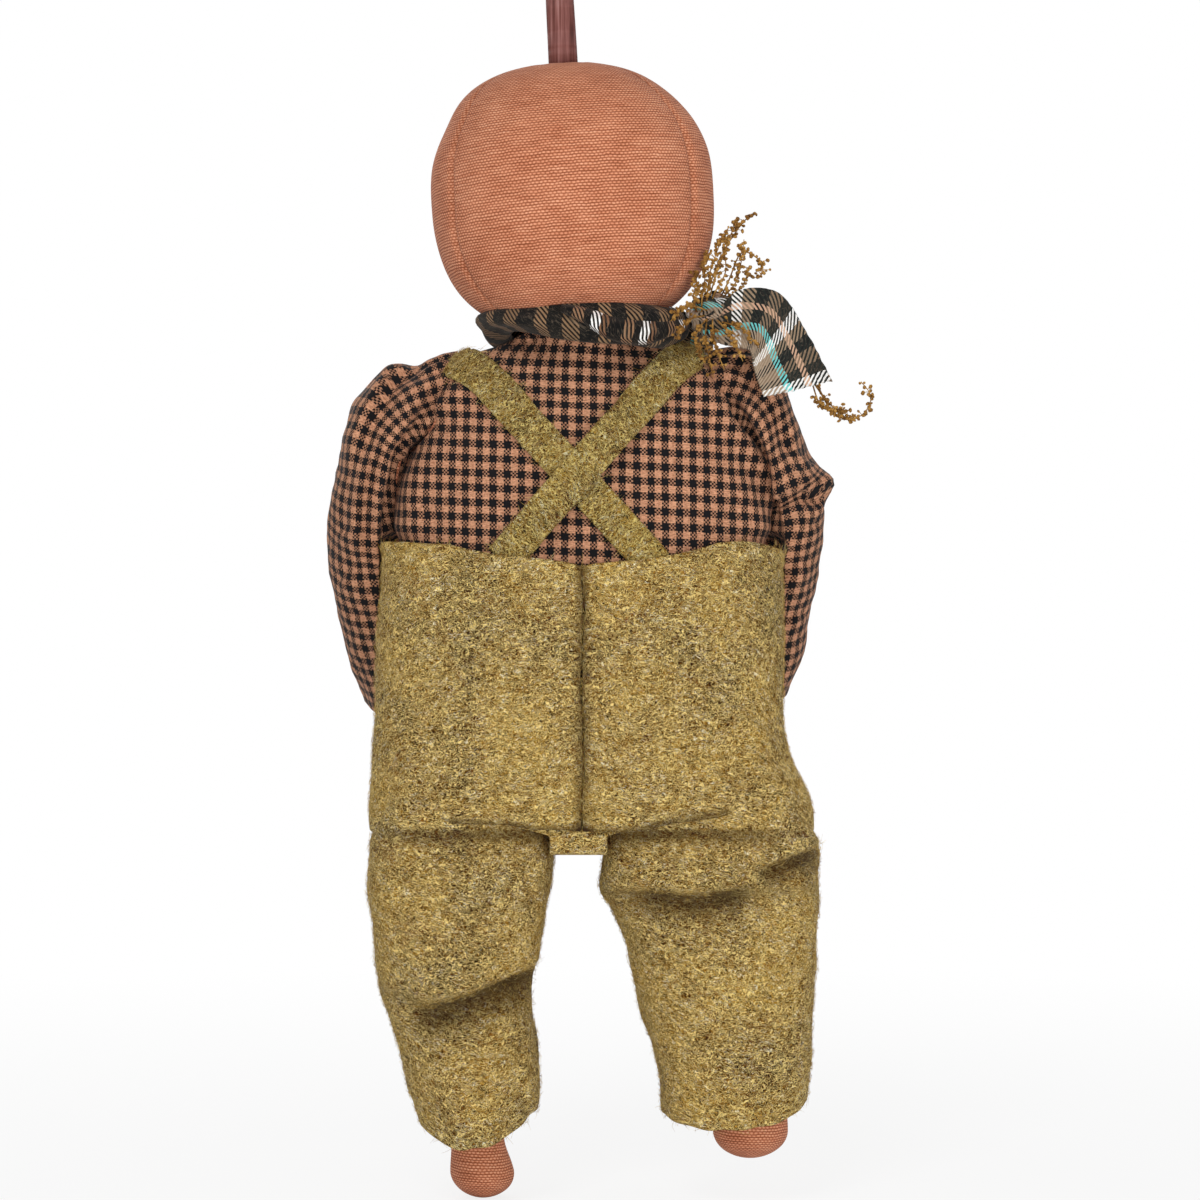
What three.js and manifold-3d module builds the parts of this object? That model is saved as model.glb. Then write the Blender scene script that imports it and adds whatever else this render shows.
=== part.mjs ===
import * as THREE from 'three';
import { mergeVertices } from 'three/addons/utils/BufferGeometryUtils.js';
import Module from 'manifold-3d';

const wasm = await Module();
wasm.setup();

// A stuffed cloth doll with a pumpkin head, a check shirt and felt overalls.
// Millimetres. +Z is up, the doll faces -Y, and +X is the doll's left.
// The origin is the middle of the flat seat between the legs.

// Cloth and clearances, and how far a tool that only cuts runs past what it cuts
const linen = 1.2;
const shirting = 1.4;
const felt = 3;
const strapFelt = 2.6;
const touch = 0.4;
const swing = 0.8;
const seam = 0.3;
const beyond = 60;

// How finely the round forms are divided
const sides = 16;
const headSides = 20;
const trouserSides = 14;
const strapParts = 3;
const limbSides = 10;
const hipSides = 16;
const shoulderSides = 14;
const rodSides = 18;

// Torso, as the outside of the shirt
const torsoTop = 196.5;
const torsoSquareness = 2.4;
const chestHalf = 69.5;
const waistHalf = 70.3;
const hipLeft = 74.8;
const hipRight = 82.5;
const bellyFront = 36;
const bellyBack = 33.5;
// height, reach to the left, to the right, to the front, to the back
const torsoOutline = [
  [0, hipLeft - 0.6, hipRight - 0.5, bellyFront - 6, bellyBack - 5],
  [12, hipLeft, hipRight, bellyFront - 3, bellyBack - 2.5],
  [22, hipLeft, hipRight - 2.5, bellyFront - 2, bellyBack - 1.5],
  [34, hipLeft - 0.5, hipRight - 9, bellyFront - 1, bellyBack - 0.5],
  [50, hipLeft - 1.3, waistHalf, bellyFront, bellyBack],
  [84, waistHalf + 1.3, waistHalf, bellyFront, bellyBack],
  [117, waistHalf, waistHalf - 0.5, bellyFront - 1, bellyBack - 0.5],
  [134, chestHalf, chestHalf, bellyFront - 2, bellyBack - 1.5],
  [150, chestHalf - 3, chestHalf - 3, bellyFront - 4, bellyBack - 3.5],
  [163, chestHalf - 7, chestHalf - 7, bellyFront - 7.5, bellyBack - 6.5],
  [174, chestHalf - 11, chestHalf - 11, bellyFront - 12, bellyBack - 10.5],
  [183, chestHalf - 17, chestHalf - 17, bellyFront - 17.5, bellyBack - 15.5],
  [189.5, chestHalf - 27, chestHalf - 27, bellyFront - 22.5, bellyBack - 20.5],
  [194.2, chestHalf - 42, chestHalf - 42, bellyFront - 27.5, bellyBack - 25.5],
];

// Neck and head. The head leans a little to the doll's left about the middle of the neck
const neckX = 1.2;
const neckHeight = 197;
const neckRadius = 16;
const neckReach = 17;
const neckRoot = 14;
const headLean = 3;
const headWidth = 107.6;
const headDepth = 101;
const headHeight = 102.6;
const headSquareness = 2.5;
const stemRadius = 5.7;
const stemLength = 39;
const stemPocket = 13;
const stemOffset = 1;
const stemSides = 14;

// Face
const faceSeat = 0.5;
const eyeRadius = 4.2;
const eyeThickness = 2.4;
const eyeTurn = 19;
const eyeHeight = 9;
const eyeHole = 0.7;
const noseWidth = 13;
const noseHeight = 11;
const noseThickness = 1.6;
const noseDrop = -9;

// Shirt
const shirtTail = 46;
const collarHeight = 20;
const sleeveHead = 21;
const shoulderX = 59.5;
const shoulderOuter = 84;
const shoulderY = -4;
const shoulderZ = 176;
// the middle line of an arm, from the shoulder to the hand: outward, back, up
const armLine = [
  [62, -4, 176],
  [68, -5, 157],
  [77, -12, 130],
  [74, -30, 100],
  [68, -48, 70],
  [62, -58, 54],
];
const sleeveStart = 19.5;
const sleeveElbow = 18.2;
const sleeveCuff = 17.2;
const cuffPlace = 0.86;
const armShoulder = 15.5;
const armWrist = 11.5;
const handRadius = 12.6;
const handRound = 0.09;

// Overalls
const strapSpace = touch + strapFelt + touch;
const backTop = 117;
const backDip = 9;
const backDipHalf = 46;
const frontTop = 108;
const bibTop = 152;
const bibBottomHalf = 38;
const bibTopHalf = 33;
const hipHeight = 9;
const drumRadius = 31;
const drumSquareness = 4;
const crotchRight = 7.2;
const lapHeight = 12;
const sittingReach = 30;

// Trouser legs: height, inner edge, outer edge, half depth
const leftTrouser = [
  [hipHeight, 11.2, 81.4, 29.9],
  [-12, 12.8, 81.4, 29.8],
  [-30, 15.4, 79.8, 29.3],
  [-45, 18.4, 78.2, 28.5],
  [-60, 19, 75, 27.5],
  [-75, 17.8, 70.3, 26.5],
  [-90, 15.8, 66, 25.5],
  [-106, 20.5, 61, 24.5],
];
const rightTrouser = [
  [hipHeight, 8.2, 89.6, 29.9],
  [-12, 8.2, 89.5, 29.8],
  [-30, 14, 88.8, 29.3],
  [-45, 18.5, 88.2, 28.5],
  [-60, 22.5, 87.5, 27.5],
  [-75, 26, 87, 26.5],
  [-90, 29.5, 86, 25.5],
  [-103, 32, 85, 24.5],
];
const trouserSquareness = 2.5;
const hipTuck = 1.5;
const legOpening = 18;
const legTop = 40;

// Linen legs: height, middle, half width, half depth, forward shift
const leftLeg = [
  [legTop, 46.3, 17, 17, 0],
  [hipHeight, 46.3, 17, 17, 0],
  [-40, 47.5, 16, 16, 0],
  [-80, 42, 13.6, 13.8, 0],
  [-106, 38.8, 12.2, 12.6, 1],
  [-120, 38.4, 12.6, 16, 4],
  [-133.4, 38.4, 12.4, 16, 5],
];
const rightLeg = [
  [legTop, 48.9, 17, 17, 0],
  [hipHeight, 48.9, 17, 17, 0],
  [-40, 54, 16, 16, 0],
  [-75, 59.5, 14.4, 14.2, 0],
  [-94, 63, 14, 13.8, 1],
  [-106, 64, 14.6, 16.5, 4],
  [-118.2, 64, 14.4, 16.5, 5],
];
const footRound = 11;

// Straps: the middle of the band at the shoulder and at the back edge of the overalls
const strapWidth = 13.8;
const leftStrapTop = [47, 194];
const leftStrapFoot = [-22.6, 113.5];
const rightStrapTop = [-40, 194];
const rightStrapFoot = [25.2, 115.5];
const strapTuck = 7;
const strapCross = [2.7, 142.6];
const strapReach = 40;
const strapRise = 31;
const strapSlope = 11;
const strapOverTop = 14;
const strapFront = 26;
const strapFootHeight = bibTop - 16;
const buttonRadius = 6.2;
const buttonThickness = 2.4;
const buttonHole = 1;
const buttonTilt = 10;
const buttonGap = 1.3;
const buttonTurn = 14;
const buttonDrop = 8;

// Scarf, wound on the neck and tied over the doll's right shoulder
const scarfInner = 26;
const scarfOuter = 42.5;
const scarfLow = 188;
const scarfHigh = 207;
const scarfDepth = 0.9;
const knotCentre = [-49.7, 9, 202.8];
const knotReach = [10.5, 11, 9.8];
const knotTilt = 0.35;
const tailWidth = 34;
const tailFold = 2.2;
// the middle line of each tail, from the knot to its end, and the way its width lies at each end
const backTail = {
  line: [[-57, 14, 207], [-67, 22, 207.5], [-77, 26, 200], [-83, 26, 188], [-87, 24, 177]],
  across: [[0.2, 0.3, 1], [1, -0.1, 0.3]],
  width: tailWidth,
  waves: 1.6,
  waveDepth: 1.3,
};
const frontTail = {
  line: [[-47, -4, 205], [-44, -24, 197], [-41, -34, 184], [-38, -40.5, 166], [-36, -43, 146]],
  across: [[1, 0.4, 0], [1, 0, 0]],
  width: tailWidth * 0.8,
  waves: 1.3,
  waveDepth: 1,
};

// Dried sprigs
const twigRadius = 0.8;
const seedRadius = 1.7;
const twigSteps = 8;
const twigOut = 4.6;
const twigOn = 3;
// radians from one side twig to the next, round the main twig
const twigTurn = 2.4;
// the middle line of each main twig, from the knot out
const sprigs = {
  sprig_upper: [[-51, 12, 208], [-52, 15, 218], [-57, 16, 229], [-63, 15, 240]],
  sprig_lower: [[-50, 16, 204], [-46, 24, 198], [-44, 28, 192], [-47, 30, 184]],
  sprig_curl: [
    [-60, 10, 201], [-74, 14, 196], [-91, 20, 176], [-99, 20, 163], [-108, 19, 167], [-107, 18, 178],
  ],
};

const colours = {
  stem: 0x80534d, linen: 0xbe7654, stuffing: 0xe9e4d8, shirt: 0x72584a, felt: 0x9c8351,
  strap: 0x856a44, scarf: 0x5d5c50, sprig: 0x8f6c38, button: 0x1c1715,
};

function cloth(colour, roughness = 0.95) {
  return new THREE.MeshStandardMaterial({ color: colour, roughness, metalness: 0 });
}

// The values between the stations of a table, at a place along its first column
function between(table, place) {
  const last = table.length - 1;
  const rising = table[last][0] > table[0][0] ? 1 : -1;
  const low = Math.min(table[0][0], table[last][0]);
  const high = Math.max(table[0][0], table[last][0]);
  const at = Math.min(Math.max(place, low), high);
  let row = 0;
  while (row < last - 1 && rising * at > rising * table[row + 1][0]) row += 1;
  const slope = (index, column) => {
    const before = table[Math.max(index - 1, 0)];
    const after = table[Math.min(index + 1, last)];
    return (after[column] - before[column]) / (after[0] - before[0]);
  };
  const [from, to] = [table[row], table[row + 1]];
  const span = to[0] - from[0];
  const part = (at - from[0]) / span;
  return from.slice(1).map((value, index) => {
    const column = index + 1;
    const rise = (to[column] - value) * (3 - 2 * part) * part * part;
    const leave = slope(row, column) * part * (1 - part) * (1 - part);
    const arrive = slope(row + 1, column) * part * part * (1 - part);
    return value + rise + span * (leave - arrive);
  });
}

// A closed ring of superellipse form, whose reach may differ on each side
function ring(centre, across, along, reach, power, count) {
  const points = [];
  for (let step = 0; step < count; step += 1) {
    const angle = (2 * Math.PI * step) / count;
    const [c, s] = [Math.cos(angle), Math.sin(angle)];
    const x = Math.sign(c) * Math.abs(c) ** (2 / power) * (c > 0 ? reach[0] : reach[1]);
    const y = Math.sign(s) * Math.abs(s) ** (2 / power) * (s < 0 ? reach[2] : reach[3]);
    points.push(centre.clone().addScaledVector(across, x).addScaledVector(along, y));
  }
  return points;
}

// A level ring: reach is to +X, to -X, to -Y and to +Y
function levelRing(x, y, z, reach, power, count) {
  const xAxis = new THREE.Vector3(1, 0, 0);
  const yAxis = new THREE.Vector3(0, 1, 0);
  return ring(new THREE.Vector3(x, y, z), xAxis, yAxis, reach, power, count);
}

function signedVolume(points, index) {
  let sum = 0;
  for (let k = 0; k < index.length; k += 3) {
    const [a, b, c] = [points[index[k]], points[index[k + 1]], points[index[k + 2]]];
    sum += a.dot(new THREE.Vector3().crossVectors(b, c));
  }
  return sum / 6;
}

// Triangles into a geometry whose faces point out
function closedGeometry(points, index) {
  const turned = index.slice();
  if (signedVolume(points, index) < 0) {
    for (let k = 0; k < turned.length; k += 3) [turned[k], turned[k + 1]] = [turned[k + 1], turned[k]];
  }
  const geometry = new THREE.BufferGeometry();
  geometry.setAttribute('position', new THREE.Float32BufferAttribute(points.flatMap((p) => p.toArray()), 3));
  geometry.setIndex(turned);
  return geometry;
}

// A form from a stack of rings. Each end closes on a pole, or flat on the middle of its ring
function loft(rings, startPole, endPole) {
  const count = rings[0].length;
  const middle = (list) => list.reduce((sum, p) => sum.add(p), new THREE.Vector3()).divideScalar(list.length);
  const start = startPole ?? middle(rings[0]);
  const end = endPole ?? middle(rings[rings.length - 1]);
  const points = [...rings.flat(), start, end];
  const startIndex = rings.length * count;
  const lastRow = startIndex - count;
  const index = [];
  for (let side = 0; side < count; side += 1) {
    const next = (side + 1) % count;
    for (let row = 0; row < lastRow; row += count) {
      index.push(row + side, row + next, row + next + count);
      index.push(row + side, row + next + count, row + side + count);
    }
    index.push(startIndex, next, side);
    index.push(startIndex + 1, lastRow + side, lastRow + next);
  }
  return closedGeometry(points, index);
}

function solid(geometry) {
  const bare = geometry.clone();
  bare.deleteAttribute('normal');
  bare.deleteAttribute('uv');
  const merged = mergeVertices(bare, 1e-4);
  return new wasm.Manifold(new wasm.Mesh({
    numProp: 3,
    vertProperties: Float32Array.from(merged.attributes.position.array),
    triVerts: Uint32Array.from(merged.index.array),
  }));
}

function geometryOf(form) {
  const mesh = form.getMesh();
  const geometry = new THREE.BufferGeometry();
  geometry.setAttribute('position', new THREE.Float32BufferAttribute(mesh.vertProperties, 3));
  geometry.setIndex(Array.from(mesh.triVerts));
  return geometry;
}

function joined(first, ...others) {
  return others.reduce((sum, other) => sum.add(other), first);
}

function cut(first, ...tools) {
  return tools.reduce((rest, tool) => rest.subtract(tool), first);
}

function block(low, high) {
  const size = high.map((value, k) => value - low[k]);
  const box = new THREE.BoxGeometry(...size);
  box.translate(low[0] + size[0] / 2, low[1] + size[1] / 2, low[2] + size[2] / 2);
  return solid(box);
}

// An outline drawn in the X and Z directions, as seen from behind or in front, with a depth along Y
function upright(outline, nearY, farY) {
  const shape = new THREE.Shape(outline.map(([x, z]) => new THREE.Vector2(x, z)));
  const body = new THREE.ExtrudeGeometry(shape, { depth: farY - nearY, bevelEnabled: false });
  body.rotateX(Math.PI / 2);
  body.translate(0, farY, 0);
  return solid(body);
}

// A straight band between two places, as an upright slab
function band(from, to, width, nearY, farY) {
  const run = new THREE.Vector2(to[0] - from[0], to[1] - from[1]).normalize();
  const [sx, sz] = [(-run.y * width) / 2, (run.x * width) / 2];
  const outline = [
    [from[0] + sx, from[1] + sz],
    [from[0] - sx, from[1] - sz],
    [to[0] - sx, to[1] - sz],
    [to[0] + sx, to[1] + sz],
  ];
  return upright(outline, nearY, farY);
}

function rod(x, y, low, high, radius, count = rodSides) {
  const body = new THREE.CylinderGeometry(radius, radius, high - low, count);
  body.rotateX(Math.PI / 2);
  body.translate(x, y, (low + high) / 2);
  return solid(body);
}

// A drum with rounded ends round an axis that runs along X
function drum(innerX, outerX, y, z, radius, power, count) {
  const half = Math.abs(outerX - innerX) / 2;
  const profile = [];
  const steps = 6;
  for (let step = 0; step <= steps; step += 1) {
    const place = -Math.cos((Math.PI * step) / steps);
    const r = radius * Math.max(0, 1 - Math.abs(place) ** power) ** (1 / power);
    profile.push(new THREE.Vector2(step % steps === 0 ? 0 : r, place * half));
  }
  const body = new THREE.LatheGeometry(profile, count);
  body.rotateZ(-Math.PI / 2);
  body.translate((innerX + outerX) / 2, y, z);
  return solid(body);
}

// The same rings with each side and each step between them divided, on the same flats
function divided(rings, parts) {
  const finer = rings.map((list) => list.flatMap((point, k) => {
    const next = list[(k + 1) % list.length];
    return Array.from({ length: parts }, (_, part) => point.clone().lerp(next, part / parts));
  }));
  return finer.flatMap((list, row) => {
    if (row + 1 === finer.length || Math.abs(list[0].z - strapCross[1]) > strapReach) return [list];
    return [list, list.map((point, k) => point.clone().lerp(finer[row + 1][k], 0.5))];
  });
}

// The torso's form, grown by an offset. A lift raises it where one band crosses over another
function torso(offset, from = 0, lift = null) {
  const levels = [from, ...torsoOutline.map((row) => row[0]).filter((height) => height > from + 3)];
  const rings = levels.map((height) => {
    const reach = between(torsoOutline, height).map((value) => value + offset);
    const z = height + (height > from ? (offset * height) / torsoTop : 0);
    return levelRing(0, 0, z, reach, torsoSquareness, sides);
  });
  const pole = new THREE.Vector3(0, 0, torsoTop + offset);
  if (!lift) return solid(loft(rings, null, pole));
  const raised = divided(rings, strapParts);
  for (const point of raised.flat()) point.y += lift(point);
  return solid(loft(raised, null, pole));
}

const group = new THREE.Group();
const headGroup = new THREE.Group();
headGroup.position.set(neckX, 0, neckHeight);
headGroup.rotation.y = THREE.MathUtils.degToRad(headLean);
headGroup.updateMatrix();
const hipGroup = new THREE.Group();
hipGroup.position.set(0, 0, hipHeight);
const armGroup = new THREE.Group();
armGroup.position.set(0, shoulderY, shoulderZ);
group.add(headGroup, hipGroup, armGroup);

// Adds a piece to a group. The arms and legs are modelled in the whole doll's frame, the head in its own
function piece(name, form, material, parent = group) {
  const geometry = form.isBufferGeometry ? form : geometryOf(form);
  if (parent !== headGroup) geometry.translate(...parent.position.clone().negate().toArray());
  geometry.computeVertexNormals();
  const mesh = new THREE.Mesh(geometry, material);
  mesh.name = name;
  parent.add(mesh);
}

// Head, in its own frame: the middle of the neck is at the origin
const headMiddle = headHeight / 2 + 0.6;

function headForm(offset, width = headWidth, depth = headDepth) {
  const rings = [];
  const count = 9;
  const half = headHeight / 2 + offset;
  for (let step = 1; step < count; step += 1) {
    const place = -Math.cos((Math.PI * step) / count);
    const scale = (1 - Math.abs(place) ** headSquareness) ** (1 / headSquareness);
    const [x, y] = [(width / 2 + offset) * scale, (depth / 2 + offset) * scale];
    rings.push(levelRing(0, 0, headMiddle + place * half, [x, x, y, y], 2.1, headSides));
  }
  const pole = (z) => new THREE.Vector3(0, 0, z);
  return solid(loft(rings, pole(headMiddle - half), pole(headMiddle + half)));
}

// A point on the front of the head, with the turn and tilt of a piece that lies there
function onFace(turn, height) {
  const upward = (Math.abs(height) / (headHeight / 2)) ** headSquareness;
  const scale = (1 - upward) ** (1 / headSquareness);
  const angle = THREE.MathUtils.degToRad(turn);
  const [x, y] = [(Math.sin(angle) * scale * headWidth) / 2, (-Math.cos(angle) * scale * headDepth) / 2];
  const point = new THREE.Vector3(x, y, headMiddle + height);
  const outward = new THREE.Vector3(x, y, height * 0.35).normalize();
  return { point, outward };
}

function placeOnFace(geometry, turn, height, gap) {
  const { point, outward } = onFace(turn, height);
  const place = new THREE.Object3D();
  place.position.copy(point).addScaledVector(outward, gap);
  place.up.set(0, 0, 1);
  place.lookAt(place.position.clone().add(outward));
  place.updateMatrix();
  return geometry.applyMatrix4(place.matrix);
}

function button(radius, thickness, hole) {
  const outline = new THREE.Shape().absarc(0, 0, radius, 0, 2 * Math.PI);
  for (const side of [-1, 1]) {
    const eye = new THREE.Path();
    for (let step = 0; step < 5; step += 1) {
      const angle = (-2 * Math.PI * step) / 5;
      const [x, y] = [side * radius * 0.3 + hole * Math.cos(angle), hole * Math.sin(angle)];
      if (step === 0) eye.moveTo(x, y);
      else eye.lineTo(x, y);
    }
    outline.holes.push(eye);
  }
  return new THREE.ExtrudeGeometry(outline, { depth: thickness, curveSegments: 9, bevelEnabled: false });
}

function buildHead() {
  const throat = rod(0, 0, -beyond, neckReach + swing, neckRadius + swing);
  const stemFoot = headMiddle + headHeight / 2 - stemPocket;
  const pocket = rod(stemOffset, 0, stemFoot - touch, stemFoot + stemLength, stemRadius + touch, stemSides);
  const cover = cut(headForm(0), headForm(-linen), throat, pocket);
  piece('head_cover', cover, cloth(colours.linen), headGroup);
  const filling = cut(headForm(-linen - touch), throat, pocket);
  piece('head_stuffing', filling, cloth(colours.stuffing), headGroup);

  const stem = new THREE.CylinderGeometry(stemRadius * 0.97, stemRadius, stemLength, stemSides, 4);
  stem.rotateX(Math.PI / 2);
  stem.translate(stemOffset, 0, stemFoot + stemLength / 2);
  piece('stem', stem, cloth(colours.stem, 0.8), headGroup);

  for (const [name, turn] of [['left_eye', eyeTurn], ['right_eye', -eyeTurn]]) {
    const eye = button(eyeRadius, eyeThickness, eyeHole);
    piece(name, placeOnFace(eye, turn, eyeHeight, faceSeat), cloth(colours.button, 0.35), headGroup);
  }
  const nose = new THREE.Shape([
    new THREE.Vector2(-noseWidth / 2, -noseHeight / 2),
    new THREE.Vector2(noseWidth / 2, -noseHeight / 2),
    new THREE.Vector2(0, noseHeight / 2),
  ]);
  const nosePad = new THREE.ExtrudeGeometry(nose, { depth: noseThickness, bevelEnabled: false });
  piece('nose', placeOnFace(nosePad, 0, noseDrop, faceSeat), cloth(colours.button), headGroup);
}

// The head's outline as it turns on the neck, in the whole doll's frame
function headSweep() {
  const geometry = geometryOf(headForm(swing, headWidth, headWidth));
  return solid(geometry.applyMatrix4(headGroup.matrix));
}

// Legs. The hip is a drum round the hinge line, and the leg hangs from it
const legs = {
  left: { side: 1, trouser: leftTrouser, leg: leftLeg },
  right: { side: -1, trouser: rightTrouser, leg: rightLeg },
};

function hipDrum(leg, offset) {
  const [, inner, outer] = leg.trouser[0];
  const [a, b] = [leg.side * (inner - offset), leg.side * (outer + offset)];
  return drum(a, b, 0, hipHeight, drumRadius + offset, drumSquareness, hipSides);
}

function trouserForm(leg, offset, overrun) {
  const rings = leg.trouser.map(([height, inner, outer, depth], row) => {
    const half = (outer - inner) / 2 + offset - (row === 0 ? hipTuck : 0);
    const reach = [half, half, depth + offset, depth + offset];
    const z = height - (row === leg.trouser.length - 1 ? overrun : 0);
    return levelRing((leg.side * (inner + outer)) / 2, 0, z, reach, trouserSquareness, trouserSides);
  });
  return joined(hipDrum(leg, offset), solid(loft(rings)));
}

function legForm(leg, offset) {
  const bottom = leg.leg[leg.leg.length - 1][0];
  const heights = [legTop, hipHeight, -18, -40, -62, -80, -94];
  const round = footRound + offset;
  for (const angle of [0, 30, 56, 76]) {
    heights.push(bottom - offset + round * (1 - Math.sin(THREE.MathUtils.degToRad(angle))));
  }
  const rings = heights.map((height) => {
    const [middle, half, depth, forward] = between(leg.leg, height);
    const above = (height - (bottom - offset)) / round;
    const scale = above < 1 ? Math.sqrt(1 - (1 - above) ** 2) : 1;
    const reach = [half + offset, half + offset, depth + offset, depth + offset].map((r) => r * scale);
    return levelRing(leg.side * middle, -forward, height, reach, 2, limbSides);
  });
  const [middle, , , forward] = between(leg.leg, bottom);
  return solid(loft(rings, null, new THREE.Vector3(leg.side * middle, -forward, bottom - offset)));
}

function buildLegs() {
  for (const [name, leg] of Object.entries(legs)) {
    const trouser = cut(trouserForm(leg, 0, 0), trouserForm(leg, -felt, beyond));
    piece(`${name}_trouser`, trouser, cloth(colours.felt), hipGroup);
    const inTrouser = (inset) => (
      trouserForm(leg, -felt - touch - inset, beyond).intersect(legForm(leg, -inset))
    );
    const opening = rod(leg.side * leg.leg[0][1], 0, hipHeight, beyond, legOpening / 2, 8);
    piece(`${name}_leg_cover`, cut(inTrouser(0), inTrouser(linen), opening), cloth(colours.linen), hipGroup);
    piece(`${name}_leg_stuffing`, inTrouser(linen + touch), cloth(colours.stuffing), hipGroup);
  }
}

// The space that the legs need in the torso, from standing to sitting
function legRoom(offset) {
  const top = hipHeight + drumRadius + offset;
  const forms = Object.values(legs).map((leg) => {
    const [, inner, outer] = leg.trouser[0];
    const [a, b] = [leg.side * (inner - offset), leg.side * (outer + sittingReach)];
    const [low, high] = [Math.min(a, b), Math.max(a, b)];
    const front = block([low, -beyond, -beyond], [high, 0, top]);
    const under = block([low, -beyond, -beyond], [high, beyond, hipHeight + offset + touch]);
    return joined(hipDrum(leg, offset), front, under);
  });
  return joined(...forms);
}

// Arms, along their middle line
function armCurve(side) {
  return new THREE.CatmullRomCurve3(armLine.map(([x, y, z]) => new THREE.Vector3(side * x, y, z)));
}

function armForm(side, radii, end, offset) {
  const curve = armCurve(side);
  const length = curve.getLength();
  const places = [];
  const steps = 7;
  const bodyEnd = end < 1 ? end : 1 - handRound;
  for (let step = 0; step <= steps; step += 1) places.push((bodyEnd * step) / steps);
  if (end >= 1) {
    for (const angle of [30, 56, 76]) {
      places.push(bodyEnd + (handRound + offset / length) * Math.sin(THREE.MathUtils.degToRad(angle)));
    }
  }
  const rings = places.map((place) => {
    const at = Math.min(place, 1);
    const tangent = curve.getTangentAt(at);
    const centre = curve.getPointAt(at).addScaledVector(tangent, (place - at) * length);
    const across = new THREE.Vector3(1, 0, 0).addScaledVector(tangent, -tangent.x).normalize();
    const along = new THREE.Vector3().crossVectors(tangent, across);
    const past = Math.max(0, (place - bodyEnd) / (handRound + offset / length));
    const scale = end < 1 ? 1 : Math.sqrt(Math.max(0, 1 - past * past));
    const radius = (between(radii, at)[0] + offset) * scale;
    return ring(centre, across, along, [radius, radius, radius, radius], 2, limbSides);
  });
  const pole = end < 1 ? null : curve.getPointAt(1).addScaledVector(curve.getTangentAt(1), offset);
  return solid(loft(rings, null, pole));
}

const sleeveRadii = [
  [0, sleeveStart], [0.2, sleeveStart], [0.5, sleeveElbow], [cuffPlace, sleeveCuff], [1, sleeveCuff],
];
const armRadii = [[0, armShoulder], [0.3, armShoulder], [0.8, armWrist], [0.92, handRadius], [1, handRadius]];

function shoulderDrum(side, offset) {
  const [inner, outer] = [side * (shoulderX - 6 - offset), side * (shoulderOuter + offset)];
  return drum(inner, outer, shoulderY, shoulderZ, sleeveHead + offset, 3.4, shoulderSides);
}

// What an arm has to stay clear of as it swings forward: the torso, and all that lies behind its side
const stopInner = 20;
const stopTop = shoulderZ + 29;
const stopFoot = backTop - 67;
const stopFront = -3;
const stopBack = 60;
const shirtStops = [shoulderZ, shoulderZ - 12, shoulderZ - 26, shoulderZ - 38];
const overallsStops = [backTop + 8, backTop - 10, backTop - 45, stopFoot];

function armStop(side) {
  const reach = (height) => between(torsoOutline, height)[side > 0 ? 0 : 1];
  const outline = [[side * stopInner, stopTop], [side * (shoulderX + swing), stopTop]];
  for (const height of shirtStops) {
    outline.push([side * (reach(height - 8) + swing + touch), height]);
  }
  const overalls = strapSpace + felt + swing;
  for (const height of overallsStops) {
    outline.push([side * (reach(height) + overalls), height]);
  }
  outline.push([side * stopInner, stopFoot]);
  return upright(outline, stopFront, stopBack);
}

function buildArms() {
  const room = cut(torso(swing), shoulderDrum(1, 0), shoulderDrum(-1, 0));
  const dressed = torso(strapSpace + felt + swing).intersect(block([-120, -80, 0], [120, 80, overallsStops[0]]));
  for (const [name, side] of [['left', 1], ['right', -1]]) {
    const low = [Math.min(0, side * shoulderX), -stopBack, shirtStops[2]];
    const high = [Math.max(0, side * shoulderX), stopBack, stopTop + 5];
    const inward = block(low, high);
    const stops = [armStop(side), room, dressed, inward];
    const layer = (drumOffset, radii, end, offset) => (
      joined(shoulderDrum(side, drumOffset), armForm(side, radii, end, offset))
    );
    const outer = layer(0, sleeveRadii, cuffPlace, 0);
    const inner = layer(-shirting, sleeveRadii, cuffPlace + 0.02, -shirting);
    const linenStart = -shirting - touch;
    const arm = layer(linenStart, armRadii, 1, 0);
    const pad = layer(linenStart - linen, armRadii, 1, -linen);
    const stuffing = layer(linenStart - linen - touch, armRadii, 1, -linen - touch);
    piece(`${name}_sleeve`, cut(outer, inner, ...stops), cloth(colours.shirt), armGroup);
    piece(`${name}_arm_cover`, cut(arm, pad, ...stops), cloth(colours.linen), armGroup);
    piece(`${name}_arm_stuffing`, cut(stuffing, ...stops), cloth(colours.stuffing), armGroup);
  }
}

// A round form that leans as the neck does, between two heights above the middle of the neck
function neckForm(radius, low, high) {
  return solid(geometryOf(rod(0, 0, low, high, radius)).applyMatrix4(headGroup.matrix));
}

// What the torso leaves free for the arms and the legs
function limbRoom(offset) {
  return joined(legRoom(offset), shoulderDrum(1, offset), shoulderDrum(-1, offset));
}

function buildBody() {
  const layer = (inset, top) => {
    const trunk = cut(torso(-shirting - touch - inset, felt + touch + inset), limbRoom(swing + inset));
    return joined(trunk, neckForm(neckRadius - inset, -neckRoot, top));
  };
  piece('body_cover', cut(layer(0, neckReach), layer(linen, neckReach + beyond)), cloth(colours.linen));
  piece('body_stuffing', layer(linen + touch, neckReach), cloth(colours.stuffing));
}

function buildShirt() {
  const collar = neckForm(neckRadius + touch, -beyond, collarHeight);
  const below = block([-2 * beyond, -beyond, -beyond], [2 * beyond, beyond, shirtTail]);
  const armholes = [shoulderDrum(1, swing), shoulderDrum(-1, swing)];
  const shirt = cut(torso(0), torso(-shirting), collar, below, ...armholes);
  piece('shirt_body', shirt, cloth(colours.shirt));
}

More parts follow.
